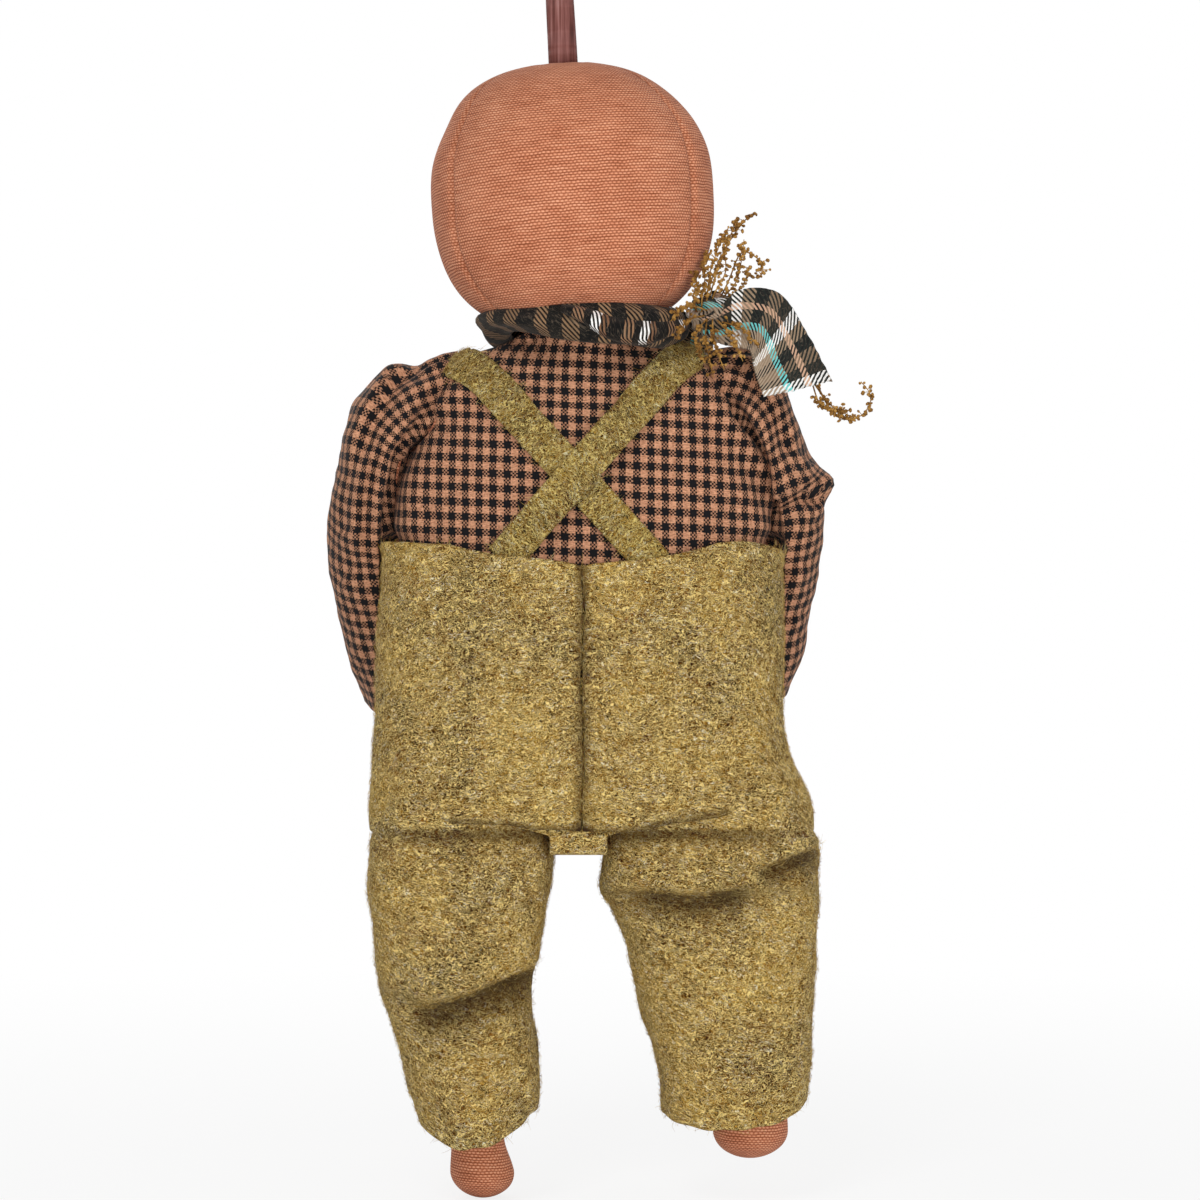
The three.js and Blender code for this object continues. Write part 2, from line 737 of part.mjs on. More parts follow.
function buildOveralls() {
  const shell = cut(torso(strapSpace + felt), torso(strapSpace, felt), legRoom(swing));
  const [wide, high] = [2 * beyond, 4 * beyond];
  const edge = [
    [-wide, high], [-wide, backTop], [-backDipHalf, backTop], [0, backTop - backDip],
    [backDipHalf, backTop], [wide, backTop], [wide, high],
  ];
  const aboveBack = upright(edge, 0, beyond);
  const aboveFront = block([-wide, -beyond, frontTop], [wide, 0, high]);
  const both = cut(shell, aboveBack, aboveFront);
  // the left half laps under the right one at the seat
  const lap = (gap) => block([-crotchRight - gap, -beyond, -beyond], [gap, beyond, lapHeight + gap]);
  const leftSide = joined(block([0, -beyond, -beyond], [wide, beyond, high]), lap(0));
  piece('overalls_left', both.intersect(leftSide), cloth(colours.felt));
  const rightSide = cut(block([-wide, -beyond, -beyond], [-seam, beyond, high]), lap(seam));
  piece('overalls_right', both.intersect(rightSide), cloth(colours.felt));

  const bibFoot = frontTop + seam;
  const bibOutline = [
    [-bibBottomHalf, bibFoot], [bibBottomHalf, bibFoot], [bibTopHalf, bibTop], [-bibTopHalf, bibTop],
  ];
  const bibShell = cut(torso(strapSpace + felt), torso(strapSpace));
  piece('bib', bibShell.intersect(upright(bibOutline, -beyond, 0)), cloth(colours.felt));
}

// A strap lies on the shirt: down the back under the edge of the overalls, and down the front behind the bib
function buildStraps() {
  const over = (p) => {
    const far = Math.hypot(p.x - strapCross[0], p.z - strapCross[1]);
    const near = Math.min(Math.max((strapRise - far) / strapSlope, 0), 1);
    return p.y > 0 ? (strapFelt + 2 * touch) * near * near * (3 - 2 * near) : 0;
  };
  const runs = [
    ['left_strap', leftStrapTop, leftStrapFoot, null],
    ['right_strap', rightStrapTop, rightStrapFoot, over],
  ];
  for (const [name, top, foot, lift] of runs) {
    const cloak = cut(torso(touch + strapFelt, 60, lift), torso(touch, 50, lift));
    const run = new THREE.Vector2(foot[0] - top[0], foot[1] - top[1]).normalize();
    const tucked = [foot[0] + run.x * strapTuck, foot[1] + run.y * strapTuck];
    const above = [top[0] - run.x * strapOverTop, top[1] - run.y * strapOverTop];
    const back = band(above, tucked, strapWidth, -seam, beyond);
    const side = Math.sign(top[0]);
    const overTop = [top[0], top[1] + strapOverTop];
    const front = band(overTop, [side * strapFront, strapFootHeight], strapWidth, -beyond, 0);
    piece(name, cloak.intersect(joined(back, front)), cloth(colours.strap));

    const height = bibTop - buttonDrop;
    const [, , reach] = between(torsoOutline, height);
    const across = strapFront / between(torsoOutline, height)[0];
    const surface = reach * (1 - across ** torsoSquareness) ** (1 / torsoSquareness);
    const y = -(surface + strapSpace + felt + buttonGap);
    const disc = button(buttonRadius, buttonThickness, buttonHole);
    disc.rotateX(Math.PI / 2);
    disc.rotateX(THREE.MathUtils.degToRad(-buttonTilt));
    disc.rotateZ(THREE.MathUtils.degToRad(side * buttonTurn));
    disc.translate(side * strapFront, y, height);
    piece(name.replace('strap', 'strap_button'), disc, cloth(colours.button, 0.5));
  }
}

// A sheet of cloth with a thickness, from a surface given over the unit square
function sheet(surface, columns, rows, thickness) {
  const faces = [[], []];
  const tiny = 1e-3;
  for (let row = 0; row <= rows; row += 1) {
    for (let column = 0; column <= columns; column += 1) {
      const [u, v] = [column / columns, row / rows];
      const point = surface(u, v);
      const du = surface(u + tiny, v).sub(point);
      const dv = surface(u, v + tiny).sub(point);
      const normal = du.cross(dv).normalize();
      faces[0].push(point.clone().addScaledVector(normal, thickness / 2));
      faces[1].push(point.clone().addScaledVector(normal, -thickness / 2));
    }
  }
  const width = columns + 1;
  const back = faces[0].length;
  const index = [];
  const quad = (a, b, c, d) => index.push(a, b, c, a, c, d);
  for (let row = 0; row < rows; row += 1) {
    for (let column = 0; column < columns; column += 1) {
      const a = row * width + column;
      quad(a, a + 1, a + 1 + width, a + width);
      quad(back + a, back + a + width, back + a + 1 + width, back + a + 1);
    }
  }
  for (let column = 0; column < columns; column += 1) {
    const far = rows * width + column;
    quad(column, back + column, back + column + 1, column + 1);
    quad(far, far + 1, back + far + 1, back + far);
  }
  for (let row = 0; row < rows; row += 1) {
    const a = row * width;
    const b = a + columns;
    quad(a, a + width, back + a + width, back + a);
    quad(b, back + b, back + b + width, b + width);
  }
  return closedGeometry([...faces[0], ...faces[1]], index);
}

// A tail of the scarf: it hangs along a line, its width lies across, and folds run down it
function tail({ line, across, width, waves, waveDepth }) {
  const curve = new THREE.CatmullRomCurve3(line.map((p) => new THREE.Vector3(...p)));
  const start = new THREE.Vector3(...across[0]);
  const end = new THREE.Vector3(...across[1]);
  return (u, v) => {
    const at = Math.min(v, 1);
    const point = curve.getPoint(at);
    const tangent = curve.getTangent(at);
    point.addScaledVector(tangent, (v - at) * curve.getLength());
    const side = start.clone().lerp(end, v).normalize();
    const out = new THREE.Vector3().crossVectors(tangent, side).normalize();
    const spread = width * (0.62 + 0.38 * Math.min(1, 2.2 * v));
    const wave = Math.sin(u * waves * Math.PI * 2 + 0.6) * waveDepth * (1 - 0.35 * v);
    return point.addScaledVector(side, (u - 0.5) * spread).addScaledVector(out, wave);
  };
}

// The turns of the scarf round the neck
function scarfRing(offset) {
  const [middle, half] = [(scarfInner + scarfOuter) / 2, (scarfOuter - scarfInner) / 2 + offset];
  const rise = (scarfHigh - scarfLow) / 2 + offset;
  const profile = [];
  for (let step = 0; step <= 8; step += 1) {
    const angle = (2 * Math.PI * (step % 8)) / 8;
    profile.push(new THREE.Vector2(middle + half * Math.cos(angle), rise * Math.sin(angle)));
  }
  const wound = new THREE.LatheGeometry(profile, headSides);
  wound.rotateX(Math.PI / 2);
  wound.scale(1, scarfDepth, 1);
  wound.translate(neckX / 2, 0, (scarfLow + scarfHigh) / 2);
  return solid(wound);
}

function knotForm(offset) {
  const lump = new THREE.IcosahedronGeometry(1, 2);
  lump.scale(...knotReach.map((value) => value + offset));
  lump.rotateY(knotTilt);
  lump.translate(...knotCentre);
  return solid(lump);
}

function buildScarf() {
  const turning = headSweep();
  const shoulders = torso(strapSpace);
  const neckRoom = neckForm(neckRadius + touch, -beyond, beyond);
  piece('scarf_band', cut(scarfRing(0), turning, shoulders, neckRoom), cloth(colours.scarf));
  const ringRoom = scarfRing(seam);
  const knot = cut(knotForm(0), turning, shoulders, ringRoom, ...twigSockets());
  piece('scarf_knot', knot, cloth(colours.scarf));
  for (const [name, run] of [['scarf_tail_back', backTail], ['scarf_tail_front', frontTail]]) {
    const hanging = solid(sheet(tail(run), 9, 6, tailFold));
    piece(name, cut(hanging, knotForm(seam), turning, shoulders, ringRoom), cloth(colours.scarf));
  }
}

// Sprigs: a main twig, side twigs off it and a seed on the end of each
function twig(line, radius, steps) {
  const outline = new THREE.Shape();
  for (let side = 0; side < 4; side += 1) {
    const angle = (2 * Math.PI * side) / 4;
    const [x, y] = [radius * Math.cos(angle), radius * Math.sin(angle)];
    if (side === 0) outline.moveTo(x, y);
    else outline.lineTo(x, y);
  }
  const curve = new THREE.CatmullRomCurve3(line.map((p) => new THREE.Vector3(...p)));
  return new THREE.ExtrudeGeometry(outline, { steps, extrudePath: curve, bevelEnabled: false });
}

function twigSockets() {
  return Object.values(sprigs).map((line) => solid(twig(line.slice(0, 3), twigRadius + seam, 4)));
}

function buildSprigs() {
  for (const [name, line] of Object.entries(sprigs)) {
    const curve = new THREE.CatmullRomCurve3(line.map((p) => new THREE.Vector3(...p)));
    let form = solid(twig(line, twigRadius, twigSteps));
    for (let k = 0; k < twigSteps / 2; k += 1) {
      const place = 1 - k / twigSteps;
      const root = curve.getPointAt(place);
      const tangent = curve.getTangentAt(place);
      const level = new THREE.Vector3(-tangent.z, 0, tangent.x).normalize();
      const side = level.applyAxisAngle(tangent, k * twigTurn);
      const tip = root.clone().addScaledVector(side, twigOut).addScaledVector(tangent, twigOn);
      const run = [root, root.clone().lerp(tip, 0.5), tip].map((p) => p.toArray());
      const branch = twig(run, twigRadius * 0.7, 2);
      const seed = new THREE.OctahedronGeometry(seedRadius, 0);
      seed.translate(...tip.toArray());
      form = joined(form, solid(branch), solid(seed));
    }
    piece(name, form, cloth(colours.sprig));
  }
}

buildHead();
buildBody();
buildShirt();
buildArms();
buildLegs();
buildOveralls();
buildStraps();
buildScarf();
buildSprigs();

export default group;
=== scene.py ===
import math
import random

import bmesh
import bpy
from mathutils import Matrix, Vector, noise
from mathutils.bvhtree import BVHTree


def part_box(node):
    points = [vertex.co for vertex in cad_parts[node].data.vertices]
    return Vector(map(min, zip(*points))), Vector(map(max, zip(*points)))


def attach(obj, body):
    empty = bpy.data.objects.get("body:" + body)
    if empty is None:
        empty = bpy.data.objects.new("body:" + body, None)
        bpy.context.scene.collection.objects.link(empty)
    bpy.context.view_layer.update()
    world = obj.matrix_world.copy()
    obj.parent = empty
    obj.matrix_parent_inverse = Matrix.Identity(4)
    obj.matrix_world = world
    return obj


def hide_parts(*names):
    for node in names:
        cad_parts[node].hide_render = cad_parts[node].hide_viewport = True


# A stuffed cloth doll: pumpkin head, check shirt, felt overalls and a plaid scarf.
# Sizes are in millimetres until a mesh is made. +Z is up, the doll faces -Y, +X is its left.
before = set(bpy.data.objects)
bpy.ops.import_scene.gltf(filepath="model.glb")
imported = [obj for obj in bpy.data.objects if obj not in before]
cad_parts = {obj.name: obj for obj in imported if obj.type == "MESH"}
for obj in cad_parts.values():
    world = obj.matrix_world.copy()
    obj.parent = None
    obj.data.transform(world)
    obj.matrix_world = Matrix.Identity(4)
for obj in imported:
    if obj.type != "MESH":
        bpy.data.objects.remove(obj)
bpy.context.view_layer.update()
mm = 0.001
sides = (("left", 1), ("right", -1))


# Small helpers

def ease(low, high, value):
    part = min(max((value - low) / (high - low), 0.0), 1.0)
    return part * part * (3 - 2 * part)


def mix(a, b, part):
    return a + (b - a) * part


def power(value, exponent):
    return math.copysign(abs(value) ** exponent, value)


def ripple(x, y, z, size, seed=0.0):
    return noise.noise(Vector((x / size + seed, y / size - seed, z / size + 2 * seed)))


# the smooth values of a table at a place along its first column
def alongTable(table, place):
    rows = table if table[0][0] < table[-1][0] else table[::-1]
    place = min(max(place, rows[0][0]), rows[-1][0])
    k = 0
    while k < len(rows) - 2 and place > rows[k + 1][0]:
        k += 1
    start, end = rows[k], rows[k + 1]
    before, after = rows[max(k - 1, 0)], rows[min(k + 2, len(rows) - 1)]
    span = end[0] - start[0]
    part = (place - start[0]) / span
    values = []
    for column in range(1, len(start)):
        leave = (end[column] - before[column]) / (end[0] - before[0])
        arrive = (after[column] - start[column]) / (after[0] - start[0])
        value = mix(start[column], end[column], part * part * (3 - 2 * part))
        value += span * leave * part * (1 - part) ** 2 - span * arrive * part * part * (1 - part)
        values.append(value)
    return values


def ringPoint(turn, left, right, front, back, squareness):
    c, s = math.cos(turn), math.sin(turn)
    x = power(c, 2 / squareness) * (left if c > 0 else right)
    y = power(s, 2 / squareness) * (back if s > 0 else front)
    return x, y


# the angle round the body at a part of the way round, which starts in front
def turnAt(part):
    return math.radians(-90 + 360 * part)


def degreesFromBack(turn):
    return abs((math.degrees(turn) + 90) % 360 - 180)


# how near a place in the back view is to a line, which side of it, and how far along
def toLine(x, z, line):
    best, side, place = math.inf, 1.0, 0.0
    for k, ((x0, z0), (x1, z1)) in enumerate(zip(line, line[1:])):
        dx, dz = x1 - x0, z1 - z0
        part = min(max(((x - x0) * dx + (z - z0) * dz) / (dx * dx + dz * dz), 0), 1)
        far = math.hypot(x - x0 - part * dx, z - z0 - part * dz)
        if far < best:
            best, place = far, (k + part) / (len(line) - 1)
            side = 1.0 if dx * (z - z0) - dz * (x - x0) > 0 else -1.0
    return best, side, place


# a crease in cloth: it rises on the left side of its line and drops on the right
def creaseAt(x, z, crease):
    line, rise, riseWidth, drop, dropWidth = crease
    far, side, place = toLine(x, z, line)
    if far > 3 * max(riseWidth, dropWidth):
        return 0.0
    fade = ease(0, 0.25, place) * ease(1, 0.75, place)
    up = 0.5 + 0.5 * math.tanh(side * far / 1.3)
    return fade * mix(-drop * math.exp(-(far / dropWidth) ** 2), rise * math.exp(-(far / riseWidth) ** 2), up)


# how far in the hollow of a deep crease a place lies, from 0 to 1, which sets the painted shade there
def hollowShade(x, z, crease):
    line, drop, dropWidth = crease[0], crease[3], crease[4]
    far, side, place = toLine(x, z, line)
    if side > 0 or drop < 5:
        return 0.0
    return ease(0, 0.3, place) * ease(1, 0.7, place) * math.exp(-((far - 2) / (0.8 * dropWidth)) ** 2)


# how far behind the doll the photograph's viewpoint lies, in metres, the place that it looks at, and
# how much it sees across, in metres
viewShape = {"distance": 1.4, "x": -6.5, "z": 95.6, "height": 0.4588}


# the place at a depth that the photograph's viewpoint sees at x and z of the middle plane
def seenAt(x, z, y):
    view = viewShape
    scale = 1 - y * mm / view["distance"]
    return Vector((mix(view["x"], x, scale), y, mix(view["z"], z, scale)))


# the small ripples of single rows don't show in the cloth map. On pieces that go round the body it is
# evened in front only, far from the line that the cloth is measured from
def evened(table, points, reach, frontOnly):
    result = []
    for r, line in enumerate(table):
        near = table[max(r - reach, 0):r + reach + 1]
        means = [sum(column) / len(near) for column in zip(*near)]
        parts = [ease(8, -14, point.y / mm) if frontOnly else 1 for point in points[r]]
        result.append([mix(own, mean, part) for own, mean, part in zip(line, means, parts)])
    return result


# Cloth is cut as a flat grid and then laid in its place. Its map holds the true lengths in metres,
# measured from one line up the piece, or up each of its panels. Panels are given as the places of
# their edges and of those lines
def cutCloth(columns, rows, place, closed=False, middle=0.5, panels=(), flip=False, squared=False,
             reach=7, frontOnly=True):
    points = [[Vector(place(c / columns, r / rows)) * mm for c in range(columns + 1)]
              for r in range(rows + 1)]
    edges, marks = ([round(part * columns) for part in parts] for parts in panels or ((), (middle,)))
    acrossRows, raised = [], []
    for r, line in enumerate(points):
        up = points[min(r + 1, rows)][marks[0]] - points[max(r - 1, 0)][marks[0]]
        up.normalize()
        lengths, lifts = [0.0], [0.0]
        for a, b in zip(line, line[1:]):
            lift = (b - a).dot(up) if squared else 0.0
            lengths.append(lengths[-1] + math.sqrt(max((b - a).length_squared - lift * lift, 0)))
            lifts.append(lifts[-1] + lift)
        acrossRows.append(lengths)
        raised.append(lifts)
    acrossRows = evened(acrossRows, points, reach, frontOnly)
    raised = evened(raised, points, reach, frontOnly)
    upLines = []
    for mark in marks:
        lengths = [0.0]
        for r in range(rows):
            lengths.append(lengths[-1] + (points[r + 1][mark] - points[r][mark]).length)
        upLines.append(lengths)
    sheet = bmesh.new()
    clothMap = sheet.loops.layers.uv.new("cloth")
    bmesh.ops.create_grid(sheet, x_segments=columns, y_segments=rows, size=0.5)
    cells = {vert: (round((vert.co.x + 0.5) * columns), round((vert.co.y + 0.5) * rows))
             for vert in sheet.verts}
    for face in sheet.faces:
        face.smooth = True
        centre = sum(cells[loop.vert][0] for loop in face.loops) / len(face.loops)
        panel = sum(centre > edge for edge in edges) % len(marks)
        for loop in face.loops:
            c, r = cells[loop.vert]
            u = acrossRows[r][c] - acrossRows[r][marks[panel]]
            if panels and panel == 0 and centre > edges[-1]:
                u = acrossRows[r][c] - acrossRows[r][-1] - acrossRows[r][marks[0]]
            loop[clothMap].uv = (u, upLines[panel][r] + raised[r][c] - raised[r][marks[panel]])
    for vert, (c, r) in cells.items():
        vert.co = points[r][c]
    if closed:
        bmesh.ops.remove_doubles(sheet, verts=sheet.verts, dist=1e-6)
    if flip:
        bmesh.ops.reverse_faces(sheet, faces=sheet.faces)
    return sheet


def makePiece(name, sheet, material, wall=0.0, rounds=0, wallSide=-1.0):
    mesh = bpy.data.meshes.new(name)
    sheet.to_mesh(mesh)
    sheet.free()
    mesh.materials.append(material)
    piece = bpy.data.objects.new(name, mesh)
    bpy.context.scene.collection.objects.link(piece)
    if wall:
        solid = piece.modifiers.new("wall", "SOLIDIFY")
        solid.thickness = wall * mm
        solid.offset = wallSide
        solid.use_quality_normals = True
    if rounds:
        smooth = piece.modifiers.new("rounds", "SUBSURF")
        smooth.levels = smooth.render_levels = rounds
    return piece


def settle(piece, body, slotName, *nodes):
    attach(piece, body)
    if nodes:
        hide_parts(*nodes)
    return piece


def firstFace(form):
    form.faces.ensure_lookup_table()
    return form.faces[0]


def faceOn(form, verts):
    return [face for face in form.faces if all(vert in verts for vert in face.verts)][0]


# the face moves on and leaves a wall behind it
def extrudeFace(form, face):
    out = bmesh.ops.extrude_face_region(form, geom=[face])
    return [part for part in out["geom"] if isinstance(part, bmesh.types.BMFace)][0]


def joinSheets(first, second):
    mesh = bpy.data.meshes.new("joined")
    second.to_mesh(mesh)
    second.free()
    first.from_mesh(mesh)
    bpy.data.meshes.remove(mesh)
    return first


# Materials

def tone(red, green, blue):
    def linear(value):
        value /= 255
        return value / 12.92 if value <= 0.04045 else ((value + 0.055) / 1.055) ** 2.4
    return (linear(red), linear(green), linear(blue), 1.0)


def node(tree, kind, inputs=None, **settings):
    made = tree.nodes.new("ShaderNode" + kind)
    for key, value in settings.items():
        setattr(made, key, value)
    for key, value in (inputs or {}).items():
        if isinstance(value, bpy.types.NodeSocket):
            tree.links.new(value, made.inputs[key])
        else:
            made.inputs[key].default_value = value
    return made


def count(tree, operation, a, b=0.0, c=0.0):
    return node(tree, "Math", {0: a, 1: b, 2: c}, operation=operation).outputs[0]


# how far along its repeat a place lies, from 0 to 1
def inRepeat(tree, place, size):
    return count(tree, "FRACT", count(tree, "DIVIDE", place, size))


# a value that noise moves up and down, in all by the amount
def stirred(tree, value, wave, amount):
    return count(tree, "ADD", value, count(tree, "MULTIPLY_ADD", wave, amount, -amount / 2))


def ramp(tree, factor, stops, interpolation="LINEAR"):
    made = node(tree, "ValToRGB", {"Fac": factor})
    made.color_ramp.interpolation = interpolation
    elements = made.color_ramp.elements
    while len(elements) < len(stops):
        elements.new(0.5)
    for element, (place, colour) in zip(elements, stops):
        element.position = place
        element.color = colour if isinstance(colour, tuple) else (colour, colour, colour, 1)
    return made.outputs["Color"]


def blendColours(tree, factor, a, b):
    return node(tree, "MixRGB", {"Fac": factor, "Color1": a, "Color2": b}).outputs[0]


def grain(tree, place, scale, detail=2.0, stretch=(1, 1, 1), turn=0.0, distortion=0.0):
    if stretch != (1, 1, 1) or turn:
        turned = node(tree, "Mapping", {"Vector": place, "Rotation": (0, 0, turn)})
        place = node(tree, "Mapping", {"Vector": turned.outputs[0], "Scale": stretch}).outputs[0]
    made = node(tree, "TexNoise", {
        "Vector": place, "Scale": scale, "Detail": detail, "Roughness": 0.6, "Distortion": distortion,
    })
    return made.outputs[0]


# how far the threads sway to either side, in metres. The most is in millimetres
def threadSway(tree, uv, scale, most):
    return count(tree, "MULTIPLY_ADD", grain(tree, uv, scale), 2 * most * mm, -most * mm)


def newMaterial(name, roughness, sheen=0.0, sheenTint=(1, 1, 1, 1)):
    material = bpy.data.materials.new(name)
    material.use_nodes = True
    tree = material.node_tree
    shader = tree.nodes["Principled BSDF"]
    shader.inputs["Roughness"].default_value = roughness
    shader.inputs["Specular IOR Level"].default_value = 0.25
    if sheen:
        shader.inputs["Sheen Weight"].default_value = sheen
        shader.inputs["Sheen Roughness"].default_value = 0.5
        shader.inputs["Sheen Tint"].default_value = sheenTint
    return material, tree, shader


# what the camera, a gloss or clear material sees directly, and not what lights the doll
def seenDirectly(tree):
    rays = node(tree, "LightPath").outputs
    seen = count(tree, "MAXIMUM", rays["Is Camera Ray"], rays["Is Glossy Ray"])
    return count(tree, "MAXIMUM", seen, rays["Is Transmission Ray"])


def colourTo(tree, shader, colour):
    tree.links.new(colour, shader.inputs["Base Color"])


def bumpTo(tree, shader, height, depth, strength=1.0):
    bump = node(tree, "Bump", {"Height": height, "Distance": depth * mm, "Strength": strength})
    tree.links.new(bump.outputs[0], shader.inputs["Normal"])


def clothPlace(tree):
    uv = node(tree, "UVMap", uv_map="cloth").outputs[0]
    parts = node(tree, "SeparateXYZ", {0: uv})
    return uv, parts.outputs[0], parts.outputs[1]


linenLook = {
    # spacing of the rows and of the threads in a row, in millimetres
    "row": 1.08, "stitch": 1.6, "slope": 0.03, "deep": tone(128, 66, 38), "low": tone(166, 94, 62),
    "middle": tone(197, 122, 88), "high": tone(222, 152, 116), "bright": tone(242, 186, 152),
}


def rustLinen():
    material, tree, shader = newMaterial("rustLinen", 0.9, 0.05)
    uv, u, v = clothPlace(tree)
    look = linenLook
    sway = threadSway(tree, uv, 170, 0.5)
    u2 = count(tree, "ADD", u, sway)
    v2 = count(tree, "ADD", count(tree, "MULTIPLY_ADD", u, look["slope"], v), sway)
    rowPlace = count(tree, "DIVIDE", v2, look["row"] * mm)
    row = count(tree, "FLOOR", rowPlace)
    stitchPlace = count(tree, "DIVIDE", u2, look["stitch"] * mm)
    stitch = count(tree, "FRACT", count(tree, "MULTIPLY_ADD", row, 0.5, stitchPlace))
    bow = count(tree, "SINE", count(tree, "MULTIPLY", count(tree, "FRACT", rowPlace), math.pi))
    rowRise = count(tree, "POWER", bow, 0.6)
    rise = count(tree, "POWER", count(tree, "SINE", count(tree, "MULTIPLY", stitch, math.pi)), 0.8)
    weave = count(tree, "MULTIPLY", rowRise, count(tree, "MULTIPLY_ADD", rise, 0.6, 0.4))
    slub = grain(tree, uv, 900, 2, (0.1, 1, 1))
    fine = grain(tree, uv, 1300, 2)
    blotch = grain(tree, uv, 38, 3)
    # the weave sets the tone: painted shade in the grooves between rows and stitches and a painted highlight
    # on their crowns, while slubs, fine grain and blotches are the yarn's own tone
    value = count(tree, "MULTIPLY_ADD", weave, 0.78, -0.02)
    value = stirred(tree, value, slub, 0.55)
    value = stirred(tree, value, fine, 0.35)
    value = stirred(tree, value, blotch, 0.4)
    stops = [(0.08, look["deep"]), (0.28, look["low"]), (0.48, look["middle"]), (0.68, look["high"]),
             (0.92, look["bright"])]
    colour = ramp(tree, value, stops)
    seam = node(tree, "Attribute", attribute_name="seam").outputs["Fac"]
    colour = blendColours(tree, count(tree, "MULTIPLY", seam, 0.75), colour, tone(116, 58, 36))
    colourTo(tree, shader, colour)
    bumpTo(tree, shader, count(tree, "ADD", weave, slub), 0.3, 0.8)
    return material


feltLook = {
    # the wool from its dark to its high tone, then the single hairs, and the rust stains
    "dark": tone(58, 33, 5), "low": tone(106, 68, 16), "middle": tone(148, 106, 33),
    "high": tone(184, 143, 57), "pale": tone(248, 220, 138), "white": tone(254, 244, 206),
    "brown": tone(28, 14, 2), "rust": tone(118, 66, 30),
}


def oliveFelt(name, shift=1.0, green=0.0):
    material, tree, shader = newMaterial(name, 0.95, 0.06, tone(235, 210, 150))
    place = node(tree, "TexCoord").outputs["Object"]
    uv = node(tree, "UVMap", uv_map="cloth").outputs[0]
    look = {key: (colour[0] * shift * (1 - green * 0.1), colour[1] * shift * (1 + green * 0.04),
                  colour[2] * shift * (1 - green * 0.3), 1.0) for key, colour in feltLook.items()}
    bend = node(tree, "TexNoise", {"Vector": uv, "Scale": 420.0, "Detail": 1.0})
    bent = node(tree, "VectorMath", {0: bend.outputs["Color"], 1: (0.003,) * 3, 2: uv},
                operation="MULTIPLY_ADD").outputs[0]

    # single hairs: thin winding lines where a stretched noise crosses its middle
    def hairs(scale, turn, wide, far):
        wave = grain(tree, bent, scale, 0.0, (0.11, 1, 1), turn)
        shifted = count(tree, "ABSOLUTE", count(tree, "SUBTRACT", wave, far))
        return ramp(tree, shifted, [(wide * 0.4, 1.0), (wide, 0.0)])

    fine = grain(tree, uv, 1500, 2, (0.6, 1, 1), 0.2)
    cloudy = grain(tree, place, 32, 2)
    patch = grain(tree, place, 210, 3, distortion=0.8)
    value = count(tree, "MULTIPLY_ADD", fine, 1.3, -0.65)
    value = stirred(tree, value, cloudy, 1.3)
    value = count(tree, "ADD", value, count(tree, "MULTIPLY_ADD", patch, 0.5, 0.25))
    stops = [(0.26, look["dark"]), (0.41, look["low"]), (0.55, look["middle"]), (0.74, look["high"])]
    colour = ramp(tree, value, stops)
    rust = ramp(tree, grain(tree, place, 120, 3, distortion=1.2), [(0.5, 0.0), (0.68, 0.5)])
    colour = blendColours(tree, rust, colour, look["rust"])
    dark = count(tree, "MAXIMUM", hairs(1200, 0.8, 0.055, 0.45), hairs(1300, -0.6, 0.055, 0.56))
    colour = blendColours(tree, count(tree, "MULTIPLY", dark, 0.9), colour, look["brown"])
    pale = count(tree, "MAXIMUM", hairs(1150, 0.1, 0.04, 0.5), hairs(1250, -0.9, 0.036, 0.46))
    pale = count(tree, "MAXIMUM", pale, hairs(1150, 0.6, 0.035, 0.53))
    colour = blendColours(tree, count(tree, "MULTIPLY", pale, 0.95), colour, look["pale"])
    inPatches = ramp(tree, patch, [(0.46, 0.0), (0.6, 0.95)])
    white = count(tree, "MULTIPLY", hairs(1050, 0.3, 0.03, 0.55), inPatches)
    colour = blendColours(tree, white, colour, look["white"])
    # painted shade: the felt turns towards its dark tone in its folds and hollows, where shade falls
    folded = node(tree, "Attribute", attribute_name="folded").outputs["Fac"]
    colour = blendColours(tree, count(tree, "MULTIPLY", folded, 0.8), colour, look["dark"])
    colourTo(tree, shader, colour)
    raised = count(tree, "MULTIPLY_ADD", pale, 0.6, fine)
    bumpTo(tree, shader, count(tree, "MULTIPLY_ADD", dark, -0.5, raised), 0.4, 0.8)
    return material


def feltHair():
    material, tree, shader = newMaterial("feltHair", 0.7, 0.1, tone(240, 220, 170))
    place = node(tree, "TexCoord").outputs["Object"]
    value = grain(tree, place, 420, 1)
    stops = [(0.3, tone(90, 56, 14)), (0.42, tone(158, 116, 40)), (0.52, tone(212, 176, 88)),
             (0.68, tone(248, 226, 160))]
    colourTo(tree, shader, ramp(tree, value, stops))
    return material


checkLook = {
    # the check's size across and along in millimetres, and its threads
    "repeat": (5.4, 5.6), "threads": 8, "tan": tone(220, 164, 128), "tanDeep": tone(166, 112, 82),
    # the gap tone is painted shade between the threads, and also the tone of worn spots
    "black": tone(4, 5, 9), "blackPale": tone(19, 17, 21), "gap": tone(30, 18, 14),
}


